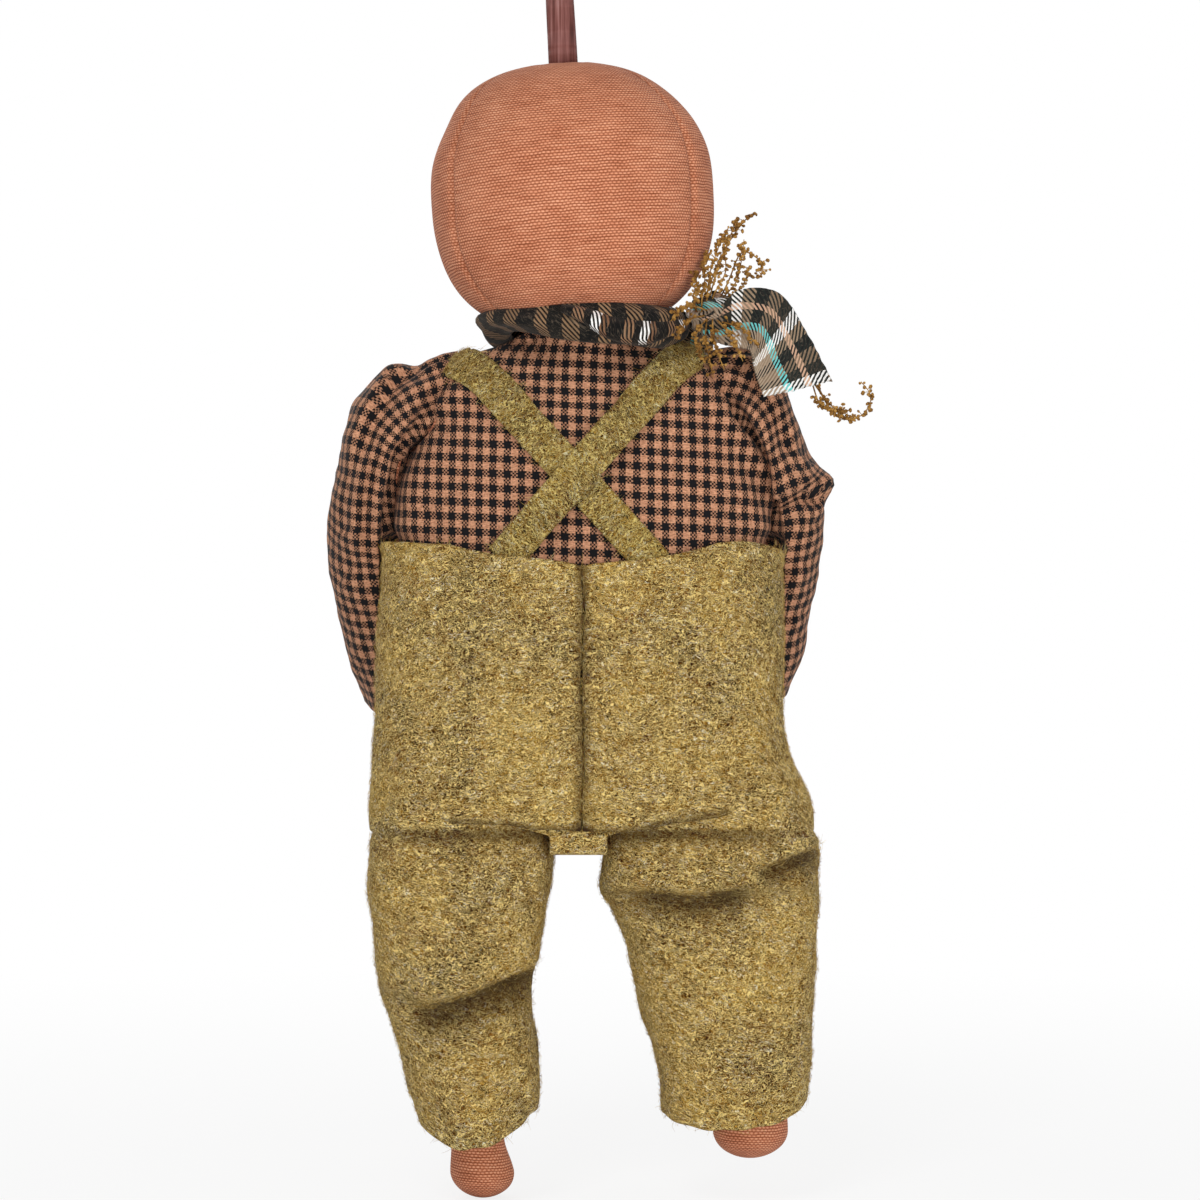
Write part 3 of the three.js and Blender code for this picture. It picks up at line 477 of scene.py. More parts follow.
def homespunCheck():
    material, tree, shader = newMaterial("homespunCheck", 0.92, 0.03)
    uv, u, v = clothPlace(tree)
    look = checkLook
    wide, high = (size * mm for size in look["repeat"])
    sway = threadSway(tree, uv, 150, 0.45)
    u2 = count(tree, "ADD", u, sway)
    v2 = count(tree, "SUBTRACT", count(tree, "MULTIPLY_ADD", u, 0.05, v), sway)
    warpDark = count(tree, "GREATER_THAN", inRepeat(tree, u2, wide), 0.5)
    weftDark = count(tree, "GREATER_THAN", inRepeat(tree, v2, high), 0.5)
    across = count(tree, "MULTIPLY", u2, look["threads"] / wide)
    up = count(tree, "MULTIPLY", v2, look["threads"] / high)
    steps = count(tree, "ADD", count(tree, "FLOOR", across), count(tree, "FLOOR", up))
    overWarp = count(tree, "GREATER_THAN", count(tree, "FRACT", count(tree, "MULTIPLY", steps, 0.5)), 0.25)
    dark = count(tree, "MULTIPLY_ADD", overWarp, count(tree, "SUBTRACT", weftDark, warpDark), warpDark)
    fibre = grain(tree, uv, 1700, 2, (0.4, 1, 1))
    worn = grain(tree, uv, 80, 3)
    tan = blendColours(tree, ramp(tree, fibre, [(0.35, 0.0), (0.62, 1.0)]), look["tanDeep"], look["tan"])
    black = blendColours(tree, ramp(tree, fibre, [(0.5, 0.0), (0.8, 1.0)]), look["black"], look["blackPale"])
    # painted shade: in the hatched squares the tan threads darken, as they lie low between black ones
    mixed = count(tree, "ABSOLUTE", count(tree, "SUBTRACT", warpDark, weftDark))
    tan = blendColours(tree, count(tree, "MULTIPLY", mixed, 0.35), tan, look["gap"])
    colour = blendColours(tree, dark, tan, black)
    # painted shade: thin dark lines in the gaps between threads
    gaps = count(tree, "MULTIPLY", count(tree, "FRACT", across), count(tree, "FRACT", up))
    colour = blendColours(tree, ramp(tree, gaps, [(0.0, 0.2), (0.1, 0.0)]), colour, look["gap"])
    colour = blendColours(tree, ramp(tree, worn, [(0.3, 0.1), (0.7, 0.0)]), colour, look["gap"])
    colourTo(tree, shader, colour)
    bumpTo(tree, shader, count(tree, "MULTIPLY_ADD", gaps, 0.6, fibre), 0.14, 0.7)
    return material


plaidLook = {
    "thread": 0.42, "fuzz": tone(150, 132, 112), "deep": tone(24, 22, 20),
    # the repeat along and across the strip, and where each colour starts in it
    "roll": {
        "repeat": (21, 30),
        "along": [(0.0, tone(138, 108, 78)), (0.26, tone(5, 6, 6)), (0.56, tone(150, 118, 86)),
                  (0.76, tone(10, 11, 9))],
        "across": [(0.0, tone(4, 4, 4)), (0.6, tone(10, 11, 9))],
    },
    "wrap": {
        "repeat": (20.5, 26),
        "along": [(0.0, tone(255, 253, 250)), (0.19, tone(128, 92, 66)), (0.34, tone(4, 4, 4)),
                  (0.64, tone(150, 114, 84)), (0.86, tone(14, 11, 9))],
        "across": [(0.0, tone(24, 17, 12)), (0.3, tone(5, 5, 5)), (0.6, tone(58, 42, 30)),
                   (0.85, tone(5, 5, 5))],
    },
    "tail": {
        "repeat": (19, 34),
        "along": [(0.0, tone(242, 240, 236)), (0.2, tone(150, 128, 104)), (0.4, tone(20, 22, 22)),
                  (0.6, tone(132, 110, 88)), (0.82, tone(46, 42, 36))],
        "across": [(0.0, tone(172, 152, 130)), (0.36, tone(112, 204, 202)), (0.44, tone(24, 32, 29)),
                   (0.6, tone(206, 166, 138)), (0.68, tone(28, 34, 31)), (0.9, tone(120, 98, 78))],
    },
}


def plaidFlannel(name, pattern, along=0.0, across=0.0, turned=False):
    material, tree, shader = newMaterial(name, 0.95, 0.08, tone(240, 230, 220))
    uv, u, v = clothPlace(tree)
    look, stripes = plaidLook, plaidLook[pattern]
    if turned:
        u, v = v, u
    sway = threadSway(tree, uv, 200, 0.6)
    u2 = count(tree, "ADD", count(tree, "ADD", u, along * mm), sway)
    v2 = count(tree, "SUBTRACT", count(tree, "ADD", v, across * mm), sway)
    repeatAlong, repeatAcross = stripes["repeat"]
    warp = ramp(tree, inRepeat(tree, u2, repeatAlong * mm), stripes["along"], "CONSTANT")
    weft = ramp(tree, inRepeat(tree, v2, repeatAcross * mm), stripes["across"], "CONSTANT")
    thread = look["thread"] * mm
    slant = inRepeat(tree, count(tree, "MULTIPLY_ADD", v2, 0.75, u2), 4 * thread)
    colour = blendColours(tree, ramp(tree, slant, [(0.44, 0.0), (0.54, 1.0)]), warp, weft)
    fuzz = grain(tree, uv, 1100, 3, distortion=1.0)
    wave = grain(tree, uv, 700, 0.0, (0.3, 1, 1), 0.6, 1.5)
    hair = count(tree, "ABSOLUTE", count(tree, "SUBTRACT", wave, 0.5))
    colour = blendColours(tree, ramp(tree, fuzz, [(0.55, 0.0), (0.9, 0.18)]), colour, look["fuzz"])
    colour = blendColours(tree, ramp(tree, hair, [(0.01, 0.2), (0.04, 0.0)]), colour, look["fuzz"])
    colour = blendColours(tree, ramp(tree, fuzz, [(0.25, 0.4), (0.46, 0.0)]), colour, look["deep"])
    colourTo(tree, shader, colour)
    bumpTo(tree, shader, count(tree, "MULTIPLY_ADD", slant, 0.5, fuzz), 0.3, 0.8)
    return material


def stemWood():
    material, tree, shader = newMaterial("stemWood", 0.72)
    place = node(tree, "TexCoord").outputs["Object"]
    lines = grain(tree, place, 900, 3, (1, 1, 0.035))
    broad = grain(tree, place, 130, 3, (1, 1, 0.12))
    value = count(tree, "MULTIPLY_ADD", lines, 0.9, count(tree, "MULTIPLY_ADD", broad, 0.6, -0.25))
    stops = [(0.25, tone(70, 36, 32)), (0.42, tone(112, 66, 60)), (0.58, tone(138, 88, 82)),
             (0.8, tone(176, 132, 126))]
    colourTo(tree, shader, ramp(tree, value, stops))
    bumpTo(tree, shader, lines, 0.35, 0.8)
    return material


def driedPlant():
    material, tree, shader = newMaterial("driedPlant", 0.75)
    place = node(tree, "TexCoord").outputs["Object"]
    fine = grain(tree, place, 700, 2)
    broad = grain(tree, place, 150, 2)
    value = count(tree, "MULTIPLY_ADD", fine, 0.6, count(tree, "MULTIPLY", broad, 0.5))
    stops = [(0.34, tone(58, 36, 14)), (0.48, tone(118, 80, 32)), (0.6, tone(166, 122, 56)),
             (0.78, tone(206, 166, 98))]
    colourTo(tree, shader, ramp(tree, value, stops))
    bumpTo(tree, shader, fine, 0.2, 0.6)
    return material


def blackFinish(name, colour, roughness, speckle):
    material, tree, shader = newMaterial(name, roughness)
    place = node(tree, "TexCoord").outputs["Object"]
    fine = grain(tree, place, 1200, 3, distortion=0.8)
    pale = tuple(part * 2.6 for part in colour[:3]) + (1.0,)
    colourTo(tree, shader, ramp(tree, fine, [(0.4, colour), (0.75, pale)]))
    bumpTo(tree, shader, fine, speckle, 0.6)
    return material


linen = rustLinen()
felt = oliveFelt("oliveFelt")
strapFelt = oliveFelt("strapFelt", 0.8, 0.2)
check = homespunCheck()
wood = stemWood()
plant = driedPlant()
buttonBlack = blackFinish("buttonBlack", tone(30, 26, 24), 0.4, 0.05)
noseFelt = blackFinish("noseFelt", tone(26, 23, 22), 0.95, 0.4)
thread = blackFinish("blackThread", tone(34, 29, 27), 0.7, 0.15)
print("materials made")


# Torso, the form that the shirt and overalls lie on

torsoShape = {
    "top": 196.5, "squareness": 2.4,
    # height, reach to the left, right, front and back
    "rows": [
        (0, 74.2, 82, 30, 28.5), (12, 74.8, 82.5, 33, 31), (22, 74.8, 80, 34, 32),
        (34, 74.3, 73.5, 35, 33), (50, 73.5, 70.3, 36, 33.5), (84, 71.6, 70.3, 36, 33.5),
        (117, 70.3, 69.8, 35, 33), (134, 69.5, 69.5, 34, 32), (150, 66.5, 66.5, 32, 30),
        (163, 62.5, 62.5, 28.5, 27), (174, 58.5, 58.5, 24, 23), (183, 52.5, 52.5, 18.5, 18),
        (189.5, 42.5, 42.5, 13.5, 13), (194.2, 27.5, 27.5, 8.5, 8),
    ],
}


def torsoPoint(turn, height, offset=0.0):
    reach = [value + offset for value in alongTable(torsoShape["rows"], height)]
    x, y = ringPoint(turn, *reach, torsoShape["squareness"])
    return Vector((x, y, height + offset * height / torsoShape["top"]))


# how far out to one side the torso reaches, at a depth and height
def torsoSide(side, y, height, offset):
    left, right, front, back = [value + offset for value in alongTable(torsoShape["rows"], height)]
    across = abs(y) / (back if y > 0 else front)
    if across >= 1 or height > torsoShape["top"]:
        return 0.0
    p = torsoShape["squareness"]
    return (left if side > 0 else right) * (1 - across ** p) ** (1 / p)


shirtShape = {
    "hem": 42, "topRow": 193.8, "collar": 0.9, "wall": 1.2, "columns": 200, "rows": 110,
    # the armhole's depth, height and radius, how far out it lies, and the neck's middle, radius and
    # height
    "shoulder": (-4, 176, 21.8), "shoulderX": 55.5, "neck": (1.2, 16.9, 197.6),
    # the most that a crease rises, small waves, the bulge over the overalls, and the gathers at the neck:
    # how many and how deep
    "rise": 4.6, "waves": 0.7, "bulge": 2.6, "gathers": (26, 0.4),
    # creases in the back view: the line, then height and width of the rise and of the drop beside it
    "creases": [
        ([(34, 182), (43, 172), (58, 164), (71, 154), (76, 136), (78, 118)], 4.4, 7, 3.4, 6),
        ([(46, 186), (56, 176), (66, 164)], 1.6, 5, 1.2, 4),
        ([(-72, 120), (-67, 142), (-56, 158), (-42, 172), (-30, 184)], 4.2, 7, 3.4, 6),
        ([(-40, 190), (-50, 178), (-62, 160)], 1.8, 4, 1.4, 4),
        ([(34, 176), (44, 162), (56, 150)], 1.0, 4, 0.8, 5),
        ([(-60, 150), (-48, 158), (-38, 168)], 0.9, 5, 0.8, 4),
        ([(-66, 134), (-54, 130), (-46, 122)], 0.9, 4, 0.7, 5),
        ([(50, 122), (58, 130), (70, 132)], 0.8, 4, 0.7, 4),
        ([(14, 188), (20, 178), (22, 166)], 0.8, 4, 0.5, 4),
        ([(-16, 188), (-22, 178), (-24, 170)], 0.8, 4, 0.5, 4),
    ],
}


def shirtPoint(u, v):
    shape = shirtShape
    turn = turnAt(u)
    neckX, neckRadius, neckHeight = shape["neck"]
    collar = shape["collar"]
    height = mix(shape["hem"], shape["topRow"], min(v / collar, 1))
    point = torsoPoint(turn, height)
    if v > collar:
        ring = Vector((neckX + neckRadius * math.cos(turn), neckRadius * math.sin(turn), neckHeight))
        up = (v - collar) / (1 - collar)
        point = point.lerp(ring, up)
        point.z += 1.4 * math.sin(math.pi * up)
    out = 0.0
    if point.y > 0:
        out = sum(creaseAt(point.x, point.z, crease) for crease in shape["creases"])
        # nothing rises under the straps and the overalls
        out = min(out, mix(0.0, shape["rise"], ease(32, 48, abs(point.x)) * ease(112, 122, point.z)))
    waves = shape["waves"] * ripple(point.x, point.y, point.z * 0.6, 15, 1.3)
    out += waves * (1 - ease(collar, 1.0, v))
    gathers, gatherDepth = shape["gathers"]
    out += gatherDepth * math.cos(gathers * turn) * ease(0.8, 0.97, v)
    # it bulges over the overalls at the sides, and lies on the linen elsewhere
    bulge = shape["bulge"] * ease(56, 66, abs(point.x))
    out += bulge * ease(117, 124, point.z) * ease(158, 138, point.z)
    out = max(out, -0.8)
    radial = Vector((point.x, point.y * 1.6, 0)).normalized()
    point += radial * (out - 0.4)
    # the cloth runs up over the neck
    clear = neckRadius + 1.5
    far = math.hypot(point.x - neckX, point.y)
    rolled = 0.5 * (far + clear + math.sqrt((far - clear) ** 2 + 12 * ease(clear + 16, clear, far)))
    if height > 165 and far > 1:
        grow = mix(1, rolled / far, ease(165, 180, height))
        point.x, point.y = neckX + (point.x - neckX) * grow, point.y * grow
    # the armhole: flat behind the sleeve head
    y0, z0, radius = shape["shoulder"]
    inside = ease(radius + 3, radius - 2, math.hypot(point.y - y0, point.z - z0))
    limit = shape["shoulderX"]
    if abs(point.x) > limit:
        point.x = math.copysign(mix(abs(point.x), limit, inside), point.x)
    return point


def buildShirt():
    sheet = cutCloth(shirtShape["columns"], shirtShape["rows"], shirtPoint, closed=True)
    piece = makePiece("shirtBody", sheet, check, wall=shirtShape["wall"])
    settle(piece, "torso", "check_cotton", "shirt_body")


# Under the shirt: a plain linen body with its neck
def buildBody():
    sheet = bmesh.new()
    sheet.from_mesh(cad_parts["body_cover"].data)
    bmesh.ops.remove_doubles(sheet, verts=sheet.verts, dist=1e-6)
    clothMap = sheet.loops.layers.uv.new("cloth")
    for face in sheet.faces:
        for loop in face.loops:
            loop[clothMap].uv = (loop.vert.co.x + loop.vert.co.y, loop.vert.co.z)
    piece = makePiece("linenBody", sheet, linen)
    settle(piece, "torso", "linen", "body_cover", "body_stuffing")


# Head

headShape = {
    "pivot": (1.2, 0, 197), "lean": 3.0, "width": 107.6, "depth": 101, "height": 102.6, "middle": 51.9,
    "squareness": 2.5, "ring": 2.1, "columns": 312, "rows": 112,
    # the stem's hole: its middle, radius and foot. The neck's hole: its radius and top
    "stem": (1.0, 5.9, 90.2), "throat": (16.8, 17.8),
    # at each end of the head, the share of the rows up to the hole's closed end and up to its rim,
    # and where the two rims lie in degrees from the top
    "end": 0.03, "wall": 0.08, "rimTurn": (3.6, 166.2),
    # seams in degrees from the middle of the back, how deep the stitches and the panels beside them pull
    # in, and how wide that is in degrees
    "seams": (58, 122), "seamDepth": 1.7, "pull": 0.5, "seamWidth": 1.6, "pullWidth": 11, "half": 54,
    # how far the top draws in, the large and small waves, the dimple at the stem, and the gathers at the
    # stem and the neck: how many and how deep
    "drawIn": 1.5, "waves": (0.7, 0.25), "dimple": 2.2, "stemGathers": (14, 0.5), "neckGathers": (22, 0.9),
}
headMatrix = Matrix.Translation(headShape["pivot"]) @ Matrix.Rotation(math.radians(headShape["lean"]), 4, "Y")


def headPoint(u, v):
    shape = headShape
    turn = turnAt(u)
    stemX, stemRadius, stemFoot = shape["stem"]
    throatRadius, throatTop = shape["throat"]
    halfHeight = shape["height"] / 2
    n = 2 / shape["squareness"]
    end, wall = shape["end"], shape["wall"]
    topTurn, lowTurn = shape["rimTurn"]

    def onAxis(radius, z, x=0.0):
        return headMatrix @ Vector((x + radius * math.cos(turn), radius * math.sin(turn), z))

    rim = math.radians(mix(topTurn, lowTurn, (v - wall) / (1 - 2 * wall)))
    rimTop = shape["middle"] + halfHeight * power(math.cos(math.radians(topTurn)), n) - 1.6
    rimLow = shape["middle"] + halfHeight * power(math.cos(math.radians(lowTurn)), n)
    if v < end:
        return onAxis(stemRadius * v / end, stemFoot, stemX)
    if v > 1 - end:
        return onAxis(throatRadius * (1 - v) / end, throatTop)
    if v < wall:
        return onAxis(stemRadius, mix(stemFoot, rimTop, (v - end) / (wall - end)), stemX)
    if v > 1 - wall:
        return onAxis(throatRadius, mix(rimLow, throatTop, (v - 1 + wall) / (wall - end)))
    scale = power(math.sin(rim), n)
    z = shape["middle"] + halfHeight * power(math.cos(rim), n)
    x, y = ringPoint(turn, *(shape["width"] / 2,) * 2, *(shape["depth"] / 2,) * 2, shape["ring"])
    # the panels pull in at their seams
    fromBack = degreesFromBack(turn)
    seam = max(math.exp(-((fromBack - place) / shape["seamWidth"]) ** 2) for place in shape["seams"])
    broad = max(math.exp(-((fromBack - place) / shape["pullWidth"]) ** 2) for place in shape["seams"])
    inward = seam * shape["seamDepth"] + broad * shape["pull"]
    inward += shape["drawIn"] * ease(shape["middle"] + 12, shape["middle"] + 34, z)
    large, small = shape["waves"]
    inward -= large * ripple(x, y, z, 26, 2.1) + small * ripple(x, y, z, 7, 4.0) * broad
    reach = 1 - inward / shape["half"]
    point = Vector((x * scale * reach, y * scale * reach, z))
    # gathers round the stem and above the neck
    far = math.hypot(point.x - stemX, point.y)
    point.x += 1.8 * ease(shape["middle"] + 26, shape["middle"] + 44, z) * ease(8, 22, far)
    if z > shape["middle"]:
        gathers, depth = shape["stemGathers"]
        pinch = math.exp(-((far - stemRadius) / 7) ** 2)
        dimple = shape["dimple"] * math.exp(-((far - stemRadius) / 5) ** 2)
        point.z -= dimple - depth * pinch * math.cos(gathers * turn)
    else:
        gathers, depth = shape["neckGathers"]
        point.z += depth * ease(0.8, 0.92, v) * math.cos(gathers * turn + 2 * math.sin(3 * turn))
    if v < wall + 0.01:
        ring = Vector((stemX + stemRadius * math.cos(turn), stemRadius * math.sin(turn), rimTop))
        point = ring.lerp(point, (v - wall) / 0.01)
    return headMatrix @ point


def buildHead():
    shape = headShape
    near, far = (seam / 360 for seam in shape["seams"])
    places = [0.5 - far, 0.5 - near, 0.5 + near, 0.5 + far]
    marks = [0.0, 0.25, 0.5, 0.75]
    sheet = cutCloth(shape["columns"], shape["rows"], headPoint, closed=True, panels=(places, marks),
                     flip=True)
    # the seams take a darker line
    seamLayer = sheet.verts.layers.float.new("seam")
    inverse = headMatrix.inverted()
    for vert in sheet.verts:
        spot = inverse @ (vert.co / mm)
        fromBack = degreesFromBack(math.atan2(spot.y, spot.x))
        vert[seamLayer] = max(math.exp(-((fromBack - place) / 0.9) ** 2) for place in shape["seams"])
    piece = makePiece("stuffedHead", sheet, linen)
    settle(piece, "head", "linen", "head_cover", "head_stuffing")


stemShape = {
    "radius": 5.7, "foot": 90.2, "length": 39, "offset": 1.0, "sides": 40, "steps": 24, "taper": 0.06,
}


def buildStem():
    shape = stemShape
    form = bmesh.new()
    bmesh.ops.create_circle(form, cap_ends=True, radius=shape["radius"] * mm, segments=shape["sides"])
    face = firstFace(form)
    for step in range(shape["steps"]):
        face = extrudeFace(form, face)
        bmesh.ops.translate(form, verts=face.verts, vec=(0, 0, shape["length"] / shape["steps"] * mm))
    rim = list(face.edges)
    bmesh.ops.bevel(form, geom=rim, offset=0.7 * mm, segments=3, profile=0.5, affect="EDGES", material=-1)
    for vert in form.verts:
        x, y, z = vert.co / mm
        narrow = 1 - shape["taper"] * z / shape["length"]
        turn = math.atan2(y, x)
        narrow += 0.028 * ripple(4 * math.cos(turn), 4 * math.sin(turn), z * 0.05, 2.0, 5.0)
        vert.co = headMatrix @ Vector((x * narrow + shape["offset"], y * narrow, z + shape["foot"])) * mm
        if z > shape["length"] - 1.5:
            vert.co.z += 0.35 * mm * ripple(x, y, 0, 3.0, 1.0)
    bmesh.ops.recalc_face_normals(form, faces=form.faces)
    for face in form.faces:
        face.smooth = len(face.verts) == 4
    settle(makePiece("woodStem", form, wood), "head", "stem_wood", "stem")


# Arms and sleeves

armShape = {
    "line": [(62, -4, 176), (68, -5, 157), (77, -12, 130), (74, -30, 100), (68, -48, 70), (62, -58, 54)],
    # place along the arm and its radius
    "arm": [(0, 13.5), (0.3, 15), (0.8, 11.5), (0.92, 12.6), (1, 12.6)],
    # where the linen starts in the sleeve, where the rounded hand starts, and the shares of the rows
    # that close the top and round the hand
    "start": 0.12, "handStart": 0.91, "closing": 0.04, "handRows": 0.15, "columns": 48, "rows": 70,
    # in the sleeve the arm is this much slimmer and lies further out
    "slimmer": 0.32, "outward": 5.5,
}


def armCurve(side):
    points = [Vector((side * x, y, z)) for x, y, z in armShape["line"]]
    lengths = [0.0]
    for a, b in zip(points, points[1:]):
        lengths.append(lengths[-1] + (b - a).length)
    table = [(length / lengths[-1], *point) for length, point in zip(lengths, points)]

    def at(place):
        return Vector(alongTable(table, place))
    return at


# a point round the arm's middle line
def tubePoint(curve, place, turn, radius):
    here, ahead = curve(max(place - 0.01, 0)), curve(min(place + 0.01, 1))
    tangent = (ahead - here).normalized()
    across = (Vector((1, 0, 0)) - tangent * tangent.x).normalized()
    back = across.cross(tangent)
    return curve(place) + (across * math.cos(turn) + back * math.sin(turn)) * radius


# the arms and sleeves stay out of the body, the shirt and the overalls
def keepOut(point, side, extra=0.0):
    stop = 0.0
    y = point.y if point.y < -3 else 0.0
    if point.z < 152:
        grown = mix(7.3, 0.6, ease(118.5, 123.5, point.z))
        stop = torsoSide(side, y, max(point.z, 2), grown + extra)
    elif point.z < 172:
        stop = mix(torsoSide(side, y, 152, 0.9), 48, ease(152, 166, point.z))
    if side * point.x < stop:
        point.x = side * stop
    return point


sleeveShape = {
    "columns": 112, "rows": 120, "wall": 1.2, "squareness": 0.92,
    # large and small waves, then how many and how deep the gathers and the waves of the wrist are
    "waves": (1.3, 0.5), "gathers": (15, 0.7), "wrist": (5, 0.8),
    # place along the sleeve, outer edge and inner edge in the back view, middle and half width in depth,
    # slant
    "left": [
        (0, 48, 190, 49, 161, -4, 14.5, 0), (0.05, 54, 189, 54, 158, -4, 17.5, 0),
        (0.11, 61, 186.2, 57.5, 155.5, -4, 19, 0), (0.18, 71.5, 182.6, 60.5, 153, -4, 19.8, 0),
        (0.25, 80, 179, 64, 149, -4, 20, 0), (0.32, 86.4, 172, 67, 144.5, -4.3, 20, 0),
        (0.38, 89.2, 165, 68.5, 140, -4.8, 19.6, 0.05), (0.44, 91.5, 157, 69.5, 134, -6, 19.2, 0.12),
        (0.52, 94.8, 143, 70, 125, -10, 18.6, 0.3), (0.6, 97, 128, 69, 112, -16, 18.2, 0.45),
        (0.7, 97.4, 112, 64, 97, -25, 17.8, 0.55), (0.8, 94.5, 95, 58, 82, -34, 17.4, 0.6),
        (0.9, 90, 77, 52.5, 66, -44, 17.2, 0.55), (1, 83.6, 57.5, 48, 50, -54, 17.4, 0.3),
    ],
    "right": [
        (0, 48, 190, 49, 161, -4, 14.5, 0), (0.05, 56, 192, 54, 158, -4, 17.5, 0),
        (0.11, 64, 191, 57.5, 155.5, -4, 19, 0), (0.18, 71.5, 187, 60.5, 153, -4, 19.8, 0),
        (0.25, 76.5, 180, 64, 149, -4, 20, 0), (0.32, 78.6, 172.5, 66, 144.5, -4.3, 20, 0),
        (0.38, 80.5, 165, 67, 140.5, -4.8, 19.6, 0.05), (0.44, 85, 155, 68.5, 135, -6, 19.2, 0.12),
        (0.51, 92, 142.5, 69.5, 127, -9, 18.8, 0.25), (0.535, 94.2, 136.5, 70, 123.5, -11, 18.6, 0.3),
        (0.56, 92.6, 132.5, 69.5, 119, -13, 18.2, 0.36), (0.62, 91.6, 121, 67.5, 108, -19, 18, 0.48),
        (0.71, 89.6, 106, 62, 94, -27, 17.8, 0.56), (0.8, 87, 92, 57, 80, -35, 17.4, 0.6),
        (0.9, 84, 76, 52, 66, -44, 17.2, 0.55), (1, 78.2, 61, 46, 52, -53, 17.4, 0.3),
    ],
    # creases as on the shirt, on the back of each sleeve
    "leftCreases": [
        ([(52, 182), (62, 168), (71, 152), (76, 132), (78, 108)], 4.8, 7, 5.4, 6),
        ([(60, 189), (72, 180), (82, 162), (87, 142)], 4.0, 6, 3.8, 5),
        ([(72, 158), (81, 144), (85, 126), (83, 108)], 3.8, 5, 3.6, 5),
        ([(96, 120), (86, 122), (78, 118)], 1.8, 5, 1.6, 5),
        ([(96, 100), (88, 106), (80, 104)], 1.6, 5, 1.8, 5),
        ([(94, 90), (86, 88), (80, 80)], 1.5, 5, 1.4, 4),
        ([(86, 64), (82, 74), (80, 90)], 1.2, 4, 1.2, 4),
    ],
    "rightCreases": [
        ([(-78, 116), (-73, 134), (-70, 150), (-62, 166), (-54, 180)], 4.8, 7, 5.4, 6),
        ([(-82, 146), (-75, 162), (-67, 176), (-58, 188)], 3.8, 6, 3.6, 5),
        ([(-98, 136), (-88, 137.5), (-80, 137), (-68, 132)], 4.6, 7, 6.0, 5),
        ([(-72, 150), (-80, 152), (-90, 146)], 1.8, 5, 1.6, 4),
        ([(-78, 120), (-84, 124), (-92, 122)], 1.6, 5, 1.4, 4),
        ([(-76, 100), (-82, 108), (-90, 108)], 1.4, 5, 1.6, 5),
        ([(-78, 84), (-82, 90), (-88, 88)], 1.4, 5, 1.4, 4),
    ],
}


def sleevePoint(side):
    shape = sleeveShape
    name = "left" if side > 0 else "right"
    table, creases = shape[name], shape[name + "Creases"]

    def place(u, v):
        turn = 2 * math.pi * u
        outX, outZ, inX, inZ, middleY, deep, slant = alongTable(table, v)
        outer = seenAt(side * outX, outZ, middleY)
        inner = Vector((side * inX, middleY, inZ))
        c, s = (power(part, shape["squareness"]) for part in (math.cos(turn), math.sin(turn)))
        middle = (outer + inner) / 2
        point = middle + (outer - inner) / 2 * c + Vector((0, deep * s, -slant * deep * s))
        large, small = shape["waves"]
        out = large * ripple(point.x, point.y * 0.7, point.z, 13, 3.0 * side) * ease(0.05, 0.3, v)
        out += small * ripple(*point, 5, 7.0 * side)
        # gathers at the armhole and a looser edge at the wrist
        gathers, depth = shape["gathers"]
        out += depth * math.cos(gathers * turn + 1.2 * math.sin(2 * turn)) * ease(0.2, 0.06, v)
        waves, depth = shape["wrist"]
        out += depth * math.cos(waves * turn + 1) * ease(0.8, 1.0, v)
        if point.y > middleY - 8:
            behind = ease(-8, 4, point.y - middleY)
            out += behind * sum(creaseAt(point.x, point.z, crease) for crease in creases)
        direction = (outer - inner).normalized() * math.cos(turn) + Vector((0, math.sin(turn), 0))
        return keepOut(point + direction.normalized() * out, side)
    return place


def buildArms():
    for name, side in sides:
        sheet = cutCloth(sleeveShape["columns"], sleeveShape["rows"], sleevePoint(side), closed=True,
                         middle=0.2, flip=side > 0, squared=True, reach=14, frontOnly=False)
        sleeve = makePiece(name + "Sleeve", sheet, check, wall=sleeveShape["wall"])
        settle(sleeve, name + "_arm", "check_cotton", name + "_sleeve")
        curve = armCurve(side)

        def handPoint(u, v):
            turn = 2 * math.pi * u
            handAt = 1 - armShape["handRows"]
            down = mix(armShape["start"], armShape["handStart"], min(v / handAt, 1))
            radius = alongTable(armShape["arm"], down)[0]
            if v > handAt:
                bend = math.pi / 2 * (v - handAt) / armShape["handRows"]
                radius *= math.cos(bend) if v < 1 else 0
                down += (1 - armShape["handStart"]) * math.sin(bend)
            if v < armShape["closing"]:
                radius *= v / armShape["closing"]
            radius *= 1 + 0.03 * ripple(4 * math.cos(turn), 4 * math.sin(turn), 9 * v, 2.0, side)
            inSleeve = ease(0.8, 0.6, down)
            radius *= 1 - armShape["slimmer"] * inSleeve
            point = tubePoint(curve, min(down, 1.0), turn, radius)
            point.x += side * armShape["outward"] * inSleeve * ease(armShape["start"], 0.4, down)
            return keepOut(point, side, 1.9)

        sheet = cutCloth(armShape["columns"], armShape["rows"], handPoint, closed=True, flip=side > 0)
        bmesh.ops.recalc_face_normals(sheet, faces=sheet.faces)
        arm = makePiece(name + "Arm", sheet, linen)
        settle(arm, name + "_arm", "linen", name + "_arm_cover", name + "_arm_stuffing")


# Overalls

